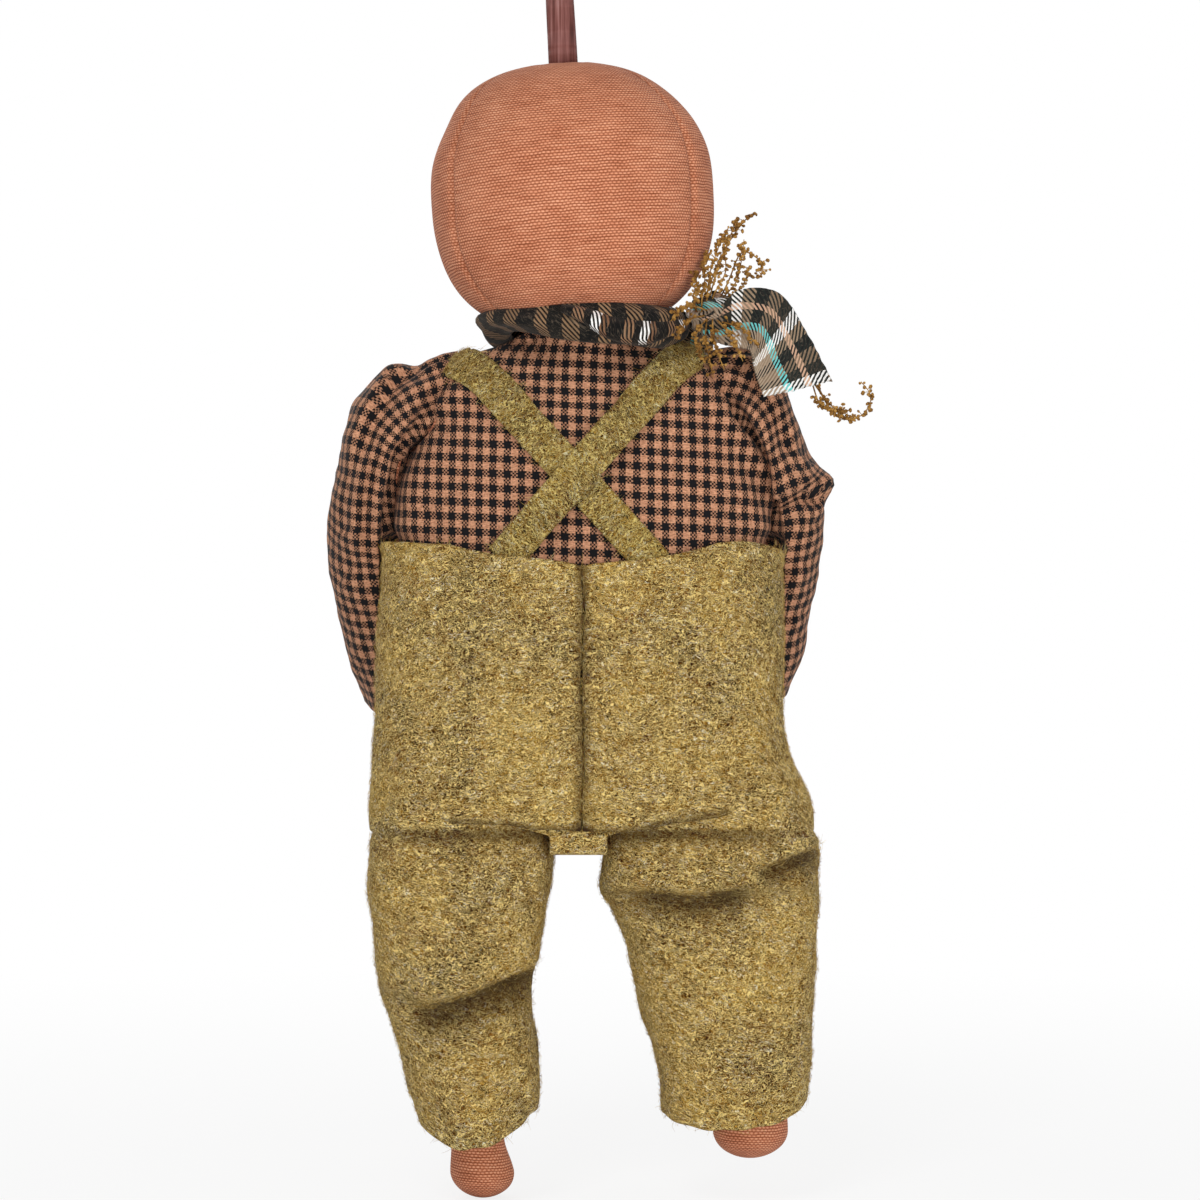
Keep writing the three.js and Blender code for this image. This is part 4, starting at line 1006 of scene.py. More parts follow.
overallsShape = {
    "wall": 3.0, "offset": 6.4, "backTop": 117, "backDip": 9, "dipHalf": 46, "frontTop": 108, "gap": 0.05,
    "columns": 100, "rows": 70, "frontHem": 40.9, "backHem": 11.5,
    # the columns' share that turns in at each middle seam, and how far in
    "tuckShare": 0.04, "tuck": 3.4,
    # large and small waves, how far the top edge and the roll above the back hem stand out, how far the
    # hem goes under, and how much closer the lower back lies
    "waves": (0.9, 0.35), "edgeOut": 0.9, "roll": 0.9, "under": 1.6, "closer": 2.5,
    # how dark the painted shade is in the folds at the hem and at the middle seam
    "hemShade": 0.8, "seamShade": 0.7,
    "creases": [
        ([(-40, 64), (-60, 54), (-76, 40)], 1.0, 7, 0.9, 8),
        ([(20, 34), (44, 28), (66, 32)], 0.8, 8, 0.8, 8),
        ([(-76, 34), (-60, 26), (-40, 22)], 0.9, 6, 0.8, 6),
        ([(76, 92), (66, 76), (62, 56)], 0.8, 8, 0.8, 7),
    ],
}


def topEdge(x, y):
    shape = overallsShape
    back = shape["backTop"] - shape["backDip"] * max(0, 1 - abs(x) / shape["dipHalf"]) ** 0.8
    back += 0.8 * math.sin(x * 0.09 + 1)
    if x < -55:
        back -= 3.5 * ease(55, 74, -x)
    return mix(shape["frontTop"], back, ease(-16, 6, y))


def hemEdge(x, y):
    shape = overallsShape
    back = shape["backHem"] - 2.8 * ease(30, 16, abs(x)) + 0.4 * math.sin(x * 0.13)
    if x < 0:
        back += 4.6 * ease(28, 60, -x) - 8.6 * ease(60, 69.5, -x)
    else:
        back -= 4.4 * ease(60, 70, x)
    front = shape["frontHem"] + 0.5 * math.sin(x * 0.13 + 0.6)
    return mix(front, back, ease(-24, -3, y))


def overallsPoint(side):
    shape = overallsShape

    def place(u, v):
        # at the middle seams the cloth turns in, as a sewn seam does
        share = shape["tuckShare"]
        tuck = max(ease(share, 0, u), ease(1 - share, 1, u))
        turn = math.radians(90 - side * 180 * min(max((u - share) / (1 - 2 * share), 0), 1))
        edge = torsoPoint(turn, 60)
        low, high = hemEdge(edge.x, edge.y), topEdge(edge.x, edge.y)
        height = mix(low, high, v)
        offset = shape["offset"]
        if edge.y > 0:
            offset -= shape["closer"] * ease(40, 8, height) * ease(74, 58, abs(edge.x))
        point = torsoPoint(turn, height, offset)
        point.z = height
        large, small = shape["waves"]
        out = large * ripple(*point, 24, 6.0) + small * ripple(*point, 8, 8.0)
        # the top edge stands a little off the shirt and rolls out
        out += shape["edgeOut"] * ease(6, 0, high - height)
        if point.y > 0:
            # the felt rolls under to the crease across the hips
            roll = ease(72, 60, abs(point.x + 2))
            under = shape["under"] * ease(3.0, 0, height - low)
            out += roll * (shape["roll"] * math.exp(-((height - low - 6) / 4) ** 2) - under)
            for crease in shape["creases"]:
                out += creaseAt(point.x, point.z, crease)
        radial = Vector((point.x, point.y * 1.5, 0)).normalized()
        point += radial * out
        point.y -= math.copysign(shape["tuck"] * tuck, point.y)
        seam = 0.45 * math.sin(height * 0.12) + 0.25 * math.sin(height * 0.31 + 1)
        nearest = shape["gap"] + 0.45 * (1 - tuck)
        if side * (point.x - seam) < nearest:
            point.x = seam + side * nearest
        return point
    return place


# a strip under the seat, from the back crease to the front. Its edges curl back beside the thighs
gussetShape = {
    "edges": (-7.3, 10.4), "columns": 24, "rows": 90, "curl": 13, "seat": (0.23, 0.68),
    # place along the strip, depth and height
    "path": [(0.0, 29.6, 17.0), (0.07, 30.8, 10.0), (0.14, 31.2, 4.0), (0.19, 29.6, 0.6), (0.24, 26.0, 0.0),
             (0.66, -26.0, 0.0), (0.74, -31.5, 3.0), (0.84, -36.5, 16.0), (0.92, -38.5, 30.0),
             (1.0, -39.5, 44.0)],
}


def gussetPoint(u, v):
    shape = gussetShape
    low, high = shape["edges"]
    spread = mix(2.0, 14, ease(0.1, 0.06, v)) + 8.5 * ease(0.7, 0.8, v)
    y, z = alongTable(shape["path"], v)
    if shape["seat"][0] < v < shape["seat"][1]:
        z = 0.0
    y += shape["curl"] * ease(0.64, 0.74, v) * abs(2 * u - 1) ** 4
    return Vector((mix(high + spread, low - spread, u), y, z))


def buildOveralls():
    shape = overallsShape
    for name, side in sides:
        sheet = cutCloth(shape["columns"], shape["rows"], overallsPoint(side), middle=0.3, flip=side > 0)
        # painted shade, kept in the folded attribute: along the back hem and at the middle seam
        foldShadeLayer = sheet.verts.layers.float.new("folded")
        for vert in sheet.verts:
            x, y, z = vert.co / mm
            if y > 8:
                atHem = ease(3.5, 0.5, z - hemEdge(x, y)) * ease(82, 62, abs(x))
                vert[foldShadeLayer] = shape["hemShade"] * atHem + shape["seamShade"] * ease(2.2, 0.8, abs(x))
        if side > 0:
            gusset = cutCloth(gussetShape["columns"], gussetShape["rows"], gussetPoint, flip=True)
            sheet = joinSheets(sheet, gusset)
        piece = makePiece(name + "Overalls", sheet, felt, wall=shape["wall"], rounds=1)
        settle(piece, "torso", "felt", "overalls_" + name)


# Trouser legs and the linen legs in them

legShape = {
    "hip": 9, "drum": 31, "wall": 3.0, "columns": 108, "rows": 110,
    # the share of the rows that lies below the hip, and the height that the hem is set out at
    "tubeShare": 0.76, "hemLevel": -108,
    # large and small waves, those of the front, and how dark the painted shade in the fold at the hip is,
    # under the overalls' hem
    "waves": (1.1, 0.4), "frontWaves": 1.2, "hipShade": 0.8,
    "left": {
        # height, inner edge, outer edge, depth of the front, depth of the back
        "tube": [(9, 11.2, 80.2, 30.6, 28.2), (3, 11.4, 81.2, 30.4, 29.6), (-5, 12, 81.6, 30.2, 32.8),
                 (-14, 12.8, 81.4, 30, 33), (-30, 15.2, 80, 29.4, 32), (-45, 18.2, 78.4, 28.5, 31),
                 (-60, 19.4, 75.4, 27.5, 27.5), (-75, 18, 70.6, 26.5, 27), (-90, 15.8, 66.4, 25.5, 26.5),
                 (-112, 19.5, 60, 24.5, 26)],
        "hem": [(18, -98.0), (30, -107.5), (40, -110.6), (52, -110.0), (62, -102.5)],
        "drumX": (11.2, 76.0),
        "creases": [
            ([(10, -41), (20, -44), (34, -49), (48, -54), (60, -57.5), (70, -57)], 3.0, 10, 11.0, 12),
            ([(80, -14), (72, -8), (62, -4)], 1.0, 5, 1.0, 5),
            ([(60, -84), (44, -78), (26, -76)], 0.8, 7, 0.8, 7),
            ([(16, -104), (21, -92), (24, -78)], 0.8, 3, 2.4, 3.5),
            ([(74, -40), (60, -30), (40, -28)], 0.9, 8, 0.8, 8),
        ],
    },
    "right": {
        "tube": [(9, 8.2, 88.2, 30.6, 28.2), (3, 8.3, 89.6, 30.4, 29.6), (-5, 7.4, 90, 30.2, 32.8),
                 (-14, 6.6, 89.7, 30, 33), (-22, 11.4, 89.4, 29.7, 32), (-30, 14.4, 89, 29.4, 30.5),
                 (-45, 18.5, 88.4, 28.5, 29), (-60, 22.5, 87.7, 27.5, 28), (-75, 26, 87, 26.5, 27),
                 (-90, 29.5, 86, 25.5, 26.5), (-106, 32, 85, 24.5, 26)],
        "hem": [(32, -101.0), (44, -103.6), (66, -102.8), (80, -98.6), (86, -93.5)],
        "drumX": (8.2, 82.0),
        "creases": [
            ([(-66, -9), (-54, -13.5), (-40, -15), (-24, -13), (-8, -14)], 2.6, 7, 9.0, 10),
            ([(-94, 4), (-84, 1), (-74, -2), (-62, -8)], 2.4, 6, 7.6, 8),
            ([(-26, -34), (-44, -36), (-62, -30)], 0.8, 8, 0.9, 8),
            ([(-58, -62), (-70, -56), (-82, -58)], 0.7, 8, 0.8, 8),
            ([(-40, -82), (-58, -78), (-72, -80)], 0.7, 7, 0.8, 7),
        ],
    },
}


def trouserPoint(name, side):
    leg = legShape[name]
    hip, drum = legShape["hip"], legShape["drum"]

    def place(u, v):
        # v runs from the hem up to the top of the hip, where the ring closes
        turn = turnAt(u)
        tubePart = legShape["tubeShare"]
        if v <= tubePart:
            inner, outer, front, back = alongTable(leg["tube"], legShape["hemLevel"])
            x, y = ringPoint(turn, *((outer - inner) / 2,) * 2, front, back, 2.5)
            hemX = abs(side * (inner + outer) / 2 + x)
            hem = alongTable(leg["hem"], hemX)[0] + 3.0 * ease(4, -16, y) + 0.4 * math.sin(hemX * 0.5)
            height = mix(hem, hip - 3, v / tubePart)
            inner, outer, front, back = alongTable(leg["tube"], height)
            half = (outer - inner) / 2
            x, y = ringPoint(turn, half, half, front, back, mix(2.5, 3.6, ease(-50, -8, height)))
            x += side * (inner + outer) / 2
        else:
            part = (v - tubePart) / (1 - tubePart)
            inner, outer, front, back = alongTable(leg["tube"], hip)
            lift = drum * math.sin(part * math.pi / 2) - 3 * (1 - part)
            height = hip + lift
            level = max(0.0, 1 - (max(lift, 0) / drum) ** 4) ** 0.25
            innerX, outerX = leg["drumX"]
            outerX = mix(outer, outerX, ease(-3, 9, lift))
            half = (outerX - innerX) / 2 * level
            deep = math.sqrt(max(drum * drum - lift * lift, 0))
            deep = mix(front, deep, ease(0, 0.25, part))
            behind = min(deep, mix(28.2, 30.4, ease(0.05, 0.3, part)))
            x, y = ringPoint(turn, half, half, deep, behind, mix(3.6, 3.0, part))
            x += side * (innerX + outerX) / 2
            if part >= 1:
                y = 0.0
        point = Vector((x, y, height))
        calm = 1 - ease(tubePart - 0.08, tubePart + 0.03, v)
        large, small = legShape["waves"]
        out = (large * ripple(x, y, height, 22, 11 * side) + small * ripple(x, y, height, 8, 5.0)) * calm
        if y > 0:
            behind = ease(0, 12, y) * calm
            out += behind * sum(creaseAt(x, height, crease) for crease in leg["creases"])
        else:
            out += legShape["frontWaves"] * math.sin(height * 0.16 + x * 0.05) * calm
        direction = Vector((x - side * (inner + outer) / 2, y * 1.4, 0))
        if direction.length > 0:
            point += direction.normalized() * out
        return point
    return place


footShape = {
    # height, middle, half width, half depth and how far forward
    "left": [(20, 46.3, 15.5, 15.5, 0), (-40, 47.5, 16, 16, 0), (-80, 43, 13.0, 13.4, 0),
             (-104, 40.6, 10.6, 11.6, 1), (-112, 40.2, 10.4, 12, 2), (-121, 38.9, 12.0, 15, 4),
             (-128, 38.2, 12.7, 16, 5), (-133.4, 38.2, 12.7, 16, 5)],
    "right": [(20, 48.9, 15.5, 15.5, 0), (-40, 54, 16, 16, 0), (-75, 59.5, 14.4, 14.2, 0),
              (-94, 63, 14, 13.8, 1), (-106, 64, 14.6, 16.5, 4), (-118.2, 64, 14.4, 16.5, 5)],
    # the rounded end's height, the top's height, and the shares of the rows that round and close them
    "round": 11, "top": 18, "roundShare": 0.3, "closing": 0.03, "columns": 64, "rows": 110,
}


def footPoint(name, side):
    rows = footShape[name]
    bottom = rows[-1][0]
    roundEnd, share = footShape["round"], footShape["roundShare"]

    def place(u, v):
        turn = turnAt(u)
        if v < share:
            bend = math.pi / 2 * v / share
            height = bottom + roundEnd * (1 - math.cos(bend))
            scale = math.sin(bend)
        else:
            height = mix(bottom + roundEnd, footShape["top"], (v - share) / (1 - share))
            scale = min((1 - v) / footShape["closing"], 1.0)
        middle, half, depth, forward = alongTable(rows, height)
        x, y = ringPoint(turn, half * scale, half * scale, depth * scale, depth * scale, 2.0)
        fromBack = degreesFromBack(turn)
        seam = math.exp(-((fromBack - 90) / 5) ** 2)
        swell = 1 + 0.02 * ripple(x, y, height, 9, side) - 0.035 * seam
        return Vector((side * middle + x * swell, -forward + y * swell, height))
    return place


def buildLegs():
    for name, side in sides:
        sheet = cutCloth(legShape["columns"], legShape["rows"], trouserPoint(name, side), closed=True)
        # painted shade, kept in the folded attribute: in the hollows of deep creases and in the fold at the
        # hip
        foldShadeLayer = sheet.verts.layers.float.new("folded")
        for vert in sheet.verts:
            x, y, z = vert.co / mm
            if y > 0 and z < legShape["hip"]:
                vert[foldShadeLayer] = sum(hollowShade(x, z, crease) for crease in legShape[name]["creases"])
                vert[foldShadeLayer] += legShape["hipShade"] * ease(2, 7, z) * ease(84, 62, abs(x))
        trouser = makePiece(name + "Trouser", sheet, felt, wall=legShape["wall"], rounds=1)
        settle(trouser, name + "_leg", "felt", name + "_trouser")
        sheet = cutCloth(footShape["columns"], footShape["rows"], footPoint(name, side), closed=True)
        leg = makePiece(name + "Leg", sheet, linen)
        settle(leg, name + "_leg", "linen", name + "_leg_cover", name + "_leg_stuffing")


# Straps, bib and buttons lie on the shirt

strapShape = {
    "width": 13.8, "wall": 2.6, "lie": 3.1, "tuck": 7, "front": 26, "frontFoot": 136,
    "columns": 9, "rows": 110,
    "left": {"top": (47, 190), "foot": (-22.6, 113.5)},
    "right": {"top": (-40, 190), "foot": (25.2, 115.5)},
    # where the straps cross, and how far the upper one rises there
    "cross": (2.7, 142.6), "rise": 3.4,
    # the back's share of the rows, the crest's share of the quarter turn, and the front's share that
    # still goes over the shoulder. Below the turn height the strap lies straight on the back
    "backShare": 0.56, "crest": 0.72, "overShare": 0.42, "turnHeight": 168,
}


def shirtSurface():
    sheet = cutCloth(96, 90, lambda u, v: torsoPoint(turnAt(u), mix(20, 196, v)), closed=True)
    rim = [edge for edge in sheet.edges if edge.is_boundary and edge.verts[0].co.z > 0.19]
    bmesh.ops.holes_fill(sheet, edges=rim, sides=0)
    tree = BVHTree.FromBMesh(sheet)
    sheet.free()
    return tree


def onShirt(tree, start, direction):
    hit = tree.ray_cast(Vector(start) * mm, Vector(direction).normalized())
    if hit[0] is None:
        return None, None
    return hit[0] / mm, hit[1]


def strapPoint(name, side, tree):
    shape = strapShape
    topX, topZ = shape[name]["top"]
    footX, footZ = shape[name]["foot"]
    run = Vector((footX - topX, footZ - topZ)).normalized()
    reach = Vector((footX - topX, footZ - topZ)).length + shape["tuck"]
    half = shape["width"] / 2
    low, backShare, overShare = shape["turnHeight"], shape["backShare"], shape["overShare"]
    crest = math.pi / 2 * shape["crest"]
    far = 90  # the lines onto the shirt start well outside the doll

    def place(u, v):
        a = (u - 0.5) * 2 * half
        behind = v < backShare
        part = (v - backShare) / (1 - backShare)
        if behind:
            # up the back, in a straight line seen from behind
            along = reach * (1 - v / backShare)
            x = topX + run.x * along + run.y * a
            z = topZ + run.y * along - run.x * a
        else:
            x = mix(topX, side * shape["front"], ease(0.1, 1.0, part)) + run.y * a
            z = topZ
        if behind and z <= low:
            hit, normal = onShirt(tree, (x, far, z), (0, -1, 0))
        elif not behind and part > overShare:
            z = mix(low, shape["frontFoot"], (part - overShare) / (1 - overShare))
            hit, normal = onShirt(tree, (x, -far, z), (0, 1, 0))
        else:
            # over the shoulder on a fan of lines
            if behind:
                turn = crest * (z - low) / (topZ - low)
            else:
                turn = mix(crest, math.pi, ease(0, overShare, part))
            start = Vector((x, far * math.cos(turn), low + far * math.sin(turn)))
            hit, normal = onShirt(tree, start, (0, -math.cos(turn), -math.sin(turn)))
        if hit is None:
            hit, normal = Vector((x, 0, 186)), Vector((0, 0, 1))
        lie = shape["lie"]
        if name == "right" and hit.y > 0:
            crossX, crossZ = shape["cross"]
            lie += shape["rise"] * ease(31, 20, math.hypot(hit.x - crossX, hit.z - crossZ))
        if normal.dot(Vector((0, hit.y, 3))) < 0:
            normal = -normal
        return hit + normal * (lie + 0.2 * ripple(*hit, 9, 2 * side))
    return place


bibShape = {"foot": 104.5, "top": 152, "footHalf": 38, "topHalf": 33, "wall": 3.0, "columns": 40, "rows": 28}


def bibPoint(tree):
    shape = bibShape

    def place(u, v):
        height = mix(shape["foot"], shape["top"], v)
        half = mix(shape["footHalf"], shape["topHalf"], v)
        x = mix(-half, half, u)
        edge = abs(2 * u - 1)
        height -= 3.0 * ease(0.8, 1.0, edge) * ease(0.8, 1.0, v)
        hit = onShirt(tree, (x, -90, height), (0, 1, 0))[0]
        out = overallsShape["offset"] + 0.4 * ripple(x, 0, height, 14, 4.0)
        return Vector((hit.x, hit.y - out, height))
    return place


buttonShape = {
    "radius": 6.2, "thick": 2.4, "sides": 40,
    # the rim's and lip's shares of the radius, and the dish's and the edge's shares of the thickness
    "rim": 0.22, "lip": 0.16, "dish": 0.32, "edge": 0.28,
    # the two threads through it: how far from the middle, half their length, their radius and how
    # far they bow up, and the height that they start at
    "threads": (1.6, 1.3, 0.45, 0.7), "threadHeight": 1.4,
}


# a short bowed thread between two places
def addStrand(form, start, end, radius, bow, steps=6):
    a, b = Vector(start), Vector(end)
    ring = bmesh.ops.create_circle(form, cap_ends=True, radius=radius * mm, segments=8)["verts"]
    turn = (b - a).to_track_quat("Z", "Y").to_matrix().to_4x4()
    bmesh.ops.transform(form, verts=ring, matrix=Matrix.Translation(a * mm) @ turn)
    face = faceOn(form, ring)
    for step in range(1, steps + 1):
        face = extrudeFace(form, face)
        height = math.sin(math.pi * step / steps) - math.sin(math.pi * (step - 1) / steps)
        bmesh.ops.translate(form, verts=face.verts, vec=((b - a) / steps + Vector(bow) * height) * mm)


def buttonForm(radius, thick, threads):
    shape = buttonShape
    form = bmesh.new()
    bmesh.ops.create_circle(form, cap_ends=True, radius=radius * mm, segments=shape["sides"])
    top = extrudeFace(form, firstFace(form))
    bmesh.ops.translate(form, verts=top.verts, vec=(0, 0, thick * mm))
    # a raised rim round a dished middle
    bmesh.ops.inset_individual(form, faces=[top], thickness=radius * shape["rim"] * mm)
    bmesh.ops.translate(form, verts=top.verts, vec=(0, 0, -thick * shape["dish"] * mm))
    bmesh.ops.inset_individual(form, faces=[top], thickness=radius * shape["lip"] * mm)

    def onRim(vert):
        return abs(math.hypot(*vert.co.xy) - radius * mm) < 1e-6

    rims = [edge for edge in form.edges if onRim(edge.verts[0]) and onRim(edge.verts[1])
            and abs(edge.verts[0].co.z - edge.verts[1].co.z) < 1e-7]
    bmesh.ops.bevel(form, geom=rims, offset=thick * shape["edge"] * mm, segments=3, profile=0.5,
                    affect="EDGES", material=-1)
    bmesh.ops.recalc_face_normals(form, faces=form.faces)
    for face in form.faces:
        face.smooth = len(face.verts) == 4
    apart, half, threadRadius, bow = threads
    height = shape["threadHeight"]
    for x in (-apart, apart):
        addStrand(form, (x, -half, height), (x, half, height), threadRadius, (0, 0, bow))
    return form


def buildStraps():
    tree = shirtSurface()
    shape = strapShape
    for name, side in sides:
        sheet = cutCloth(shape["columns"], shape["rows"], strapPoint(name, side, tree))
        strap = makePiece(name + "Strap", sheet, strapFelt, wall=shape["wall"], rounds=1)
        settle(strap, "torso", "strap_felt", name + "_strap")
        low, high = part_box(name + "_strap_button")
        form = buttonForm(buttonShape["radius"], buttonShape["thick"], buttonShape["threads"])
        turn = Matrix.Rotation(math.radians(side * 14), 4, "Z") @ Matrix.Rotation(math.radians(-10), 4, "X")
        turn = turn @ Matrix.Rotation(math.radians(90), 4, "X")
        centred = Matrix.Translation((0, 0, -buttonShape["thick"] / 2 * mm))
        place = Matrix.Translation((low + high) / 2) @ turn @ centred
        bmesh.ops.transform(form, verts=form.verts, matrix=place)
        button = makePiece(name + "StrapButton", form, buttonBlack)
        settle(button, "torso", "button_wood", name + "_strap_button")
    sheet = cutCloth(bibShape["columns"], bibShape["rows"], bibPoint(tree))
    bib = makePiece("feltBib", sheet, felt, wall=bibShape["wall"], rounds=1)
    settle(bib, "torso", "felt", "bib")


# Face: a guess, as the photograph shows the back

faceShape = {
    "eyeTurn": 19, "eyeHeight": 9, "eye": 4.2, "eyeThick": 2.4, "eyeThreads": (1.1, 0.9, 0.35, 0.6),
    "noseHeight": -9, "nose": (13, 11, 1.6),
    "mouth": [(-26, -21), (-18, -26), (-9, -29), (0, -30), (9, -29), (18, -26), (26, -21)],
    "stitches": 24, "stitch": 0.82,
}


def facePlace(turn, height):
    shape = headShape
    level = (1 - (abs(height) / (shape["height"] / 2)) ** shape["squareness"]) ** (1 / shape["squareness"])
    angle = math.radians(turn)
    x, y = math.sin(angle) * level * shape["width"] / 2, -math.cos(angle) * level * shape["depth"] / 2
    outward = Vector((x, y, height * 0.35)).normalized()
    return Vector((x, y, shape["middle"] + height)), outward


def faceMatrix(turn, height, gap):
    point, outward = facePlace(turn, height)
    rotation = outward.to_track_quat("Z", "Y").to_matrix().to_4x4()
    place = headMatrix @ Matrix.Translation(point + outward * gap) @ rotation
    place.translation = place.translation * mm
    return place


def headSurface():
    sheet = bmesh.new()
    sheet.from_mesh(bpy.data.objects["stuffedHead"].data)
    tree = BVHTree.FromBMesh(sheet)
    sheet.free()
    return tree


def buildFace():
    shape = faceShape
    for name, side in sides:
        form = buttonForm(shape["eye"], shape["eyeThick"], shape["eyeThreads"])
        place = faceMatrix(side * shape["eyeTurn"], shape["eyeHeight"], 0.35)
        bmesh.ops.transform(form, verts=form.verts, matrix=place)
        settle(makePiece(name + "Eye", form, buttonBlack), "head", "button_wood", name + "_eye")
    # a felt triangle with rounded corners
    width, height, thick = shape["nose"]
    form = bmesh.new()
    corners = bmesh.ops.create_circle(form, cap_ends=True, radius=1, segments=3)["verts"]
    places = [(-width / 2, height / 2), (width / 2, height / 2), (0, -height / 2)]
    for vert, (x, y) in zip(corners, places):
        vert.co = (x * mm, y * mm, 0)
    bmesh.ops.bevel(form, geom=corners, offset=1.6 * mm, segments=5, profile=0.5, affect="VERTICES",
                    material=-1)
    top = extrudeFace(form, firstFace(form))
    bmesh.ops.translate(form, verts=top.verts, vec=(0, 0, thick * mm))
    bmesh.ops.inset_individual(form, faces=[top], thickness=1.0 * mm, depth=0.5 * mm)
    bmesh.ops.recalc_face_normals(form, faces=form.faces)
    bmesh.ops.transform(form, verts=form.verts, matrix=faceMatrix(0, shape["noseHeight"], 0.4))
    settle(makePiece("feltNose", form, noseFelt), "head", "black_felt", "nose")
    # the mouth is sewn in back stitch
    tree = headSurface()
    form = bmesh.new()
    table = [(k / (len(shape["mouth"]) - 1), x, z) for k, (x, z) in enumerate(shape["mouth"])]
    stitches = shape["stitches"]
    for k in range(stitches):
        ends = []
        for t in (k / stitches, (k + shape["stitch"]) / stitches):
            x, z = alongTable(table, t)
            start = headMatrix @ Vector((x, -90, headShape["middle"] + z))
            hit = tree.ray_cast(start * mm, Vector((0, 1, 0)))
            ends.append(hit[0] / mm + hit[1] * 0.1)
        addStrand(form, ends[0], ends[1], 0.55, (0, -0.35, 0))
    for face in form.faces:
        face.smooth = True
    settle(makePiece("stitchedMouth", form, thread), "head", "black_felt")


# Scarf

scarfShape = {
    "middle": 33, "half": 7.6, "level": 199.2, "rise": 8.0, "depth": 0.92, "x": 0.6, "wall": 1.1,
    "columns": 190, "rows": 38, "outerColumns": 130, "outerRows": 24,
    # the strip's two sets of ridges, and the angle where it is narrow, how wide that is and how much
    "ridges": (0.9, 0.6), "narrowAt": 30, "narrowWidth": 40, "narrower": 0.42,
    # the rolled strip's lower and upper inner edge, in degrees round its middle
    "around": (-150, 165),
    # the free lower edge of the outer turn in the back view
    "edge": [(8.5, 202.5), (2, 199.5), (-4, 196), (-10, 193), (-20, 191.2), (-30, 192), (-38, 195.5),
             (-46, 200)],
}


def bandPoint(u, v):
    # v goes round the folded strip from inside at the bottom, out and over to inside at the top
    shape = scarfShape
    turn = turnAt(u)
    around = math.radians(mix(*shape["around"], v))
    half = shape["half"] + 0.6 * math.sin(3 * turn)
    # narrow on the left of the back, full towards the knot and in front
    away = (math.degrees(turn) - shape["narrowAt"] + whole for whole in (0, -360))
    narrow = max(math.exp(-(far / shape["narrowWidth"]) ** 2) for far in away)
    rise = shape["rise"] * (1 - shape["narrower"] * narrow)
    broad, fine = shape["ridges"]
    ridge = broad * math.sin(3.2 * around + 2.1 * turn + 0.6) + fine * math.sin(5.3 * around - 3 * turn)
    radius = shape["middle"] + (half + ridge * 0.8) * math.cos(around) - 1.6 * narrow
    height = shape["level"] + 3.2 * narrow + (rise + 0.5 * ridge) * math.sin(around)
    point = Vector((shape["x"] + radius * math.cos(turn), radius * math.sin(turn) * shape["depth"], height))
    point.z += 0.6 * ripple(point.x, point.y, point.z, 12, 2.5)
    return point


def overBandPoint(u, v):
    # the outer turn: its lower edge runs down from the left, then along to the knot
    shape = scarfShape
    x = mix(shape["edge"][0][0], shape["edge"][-1][0], u)
    low = alongTable([(-p[0], p[1]) for p in shape["edge"]], -x)[0]
    radius = shape["middle"] + shape["half"] + 1.6 + 0.4 * math.sin(9 * u)
    x0 = min(max((x - shape["x"]) / radius, -0.985), 0.985)
    turn = math.acos(x0)
    # the cloth bulges out from its lower edge and goes in under the head
    height = mix(low, shape["level"] + 8.6 + 1.2 * u, v)
    bulge = 1 - 0.16 * (2 * v - 0.55) ** 2 - 0.06 * ease(0.1, 0.0, v)
    fold = 0.9 * math.exp(-((v - 0.42 + 0.5 * (0.5 - u)) / 0.1) ** 2) * math.sin(math.pi * min(1, u * 1.4))
    inner = radius * bulge + fold + 0.5 * math.sin(14 * v + 5 * u) - 1.4 * ease(0.06, 0, u)
    return Vector((shape["x"] + inner * math.cos(turn), inner * math.sin(turn) * shape["depth"], height))


knotShape = {"centre": (-49.7, 9, 202.8), "reach": (10.2, 10.8, 9.6), "columns": 64, "rows": 40}


def knotPoint(u, v):
    turn = 2 * math.pi * u
    rise = math.pi * (v - 0.5)
    ridge = 0.1 * math.sin(4 * turn + 4 * rise) + 0.07 * math.sin(11 * rise + 2 * turn)
    level = Vector((math.cos(rise) * math.cos(turn), math.cos(rise) * math.sin(turn), math.sin(rise)))
    return Vector(knotShape["centre"]) + level * Vector(knotShape["reach"]) * (0.92 + ridge)


tailShape = {
    "columns": 56, "rows": 72, "wall": 1.2,
    # the rise of the fold down the middle, the gathers at the knot, the worn end and the worn sides
    "fold": 2.2, "gathers": 0.9, "ragged": 0.6, "sides": 0.35,
    # both edges in the back view, from the knot to the free end: x, z and depth
    "back": {
        "edgeA": [(-46, 196.5, 19), (-53, 194, 24), (-60, 192.6, 27), (-64.8, 190.4, 28),
                  (-66.3, 182, 26.5), (-69.2, 173.2, 25)],
        "edgeB": [(-46, 202.5, 17), (-52.5, 208.7, 19), (-60.5, 214.8, 20.5), (-75, 213, 23),
                  (-85.6, 197.6, 25), (-95.2, 179.3, 24)],
        "flat": (0.034, 0.05), "waves": 1.3, "depth": 1.3, "along": 7.0,
    },
    "front": {
        "edgeA": [(-51, 206, -2), (-50, 202, -17), (-51, 187, -30), (-49, 168, -37), (-47, 150, -40)],
        "edgeB": [(-43, 206, -6), (-33, 199, -26), (-26, 186, -38), (-24, 168, -43), (-23, 152, -45)],
        "flat": (0.027, 0.07), "waves": 1.2, "depth": 1.0, "along": 9.0,
    },
}


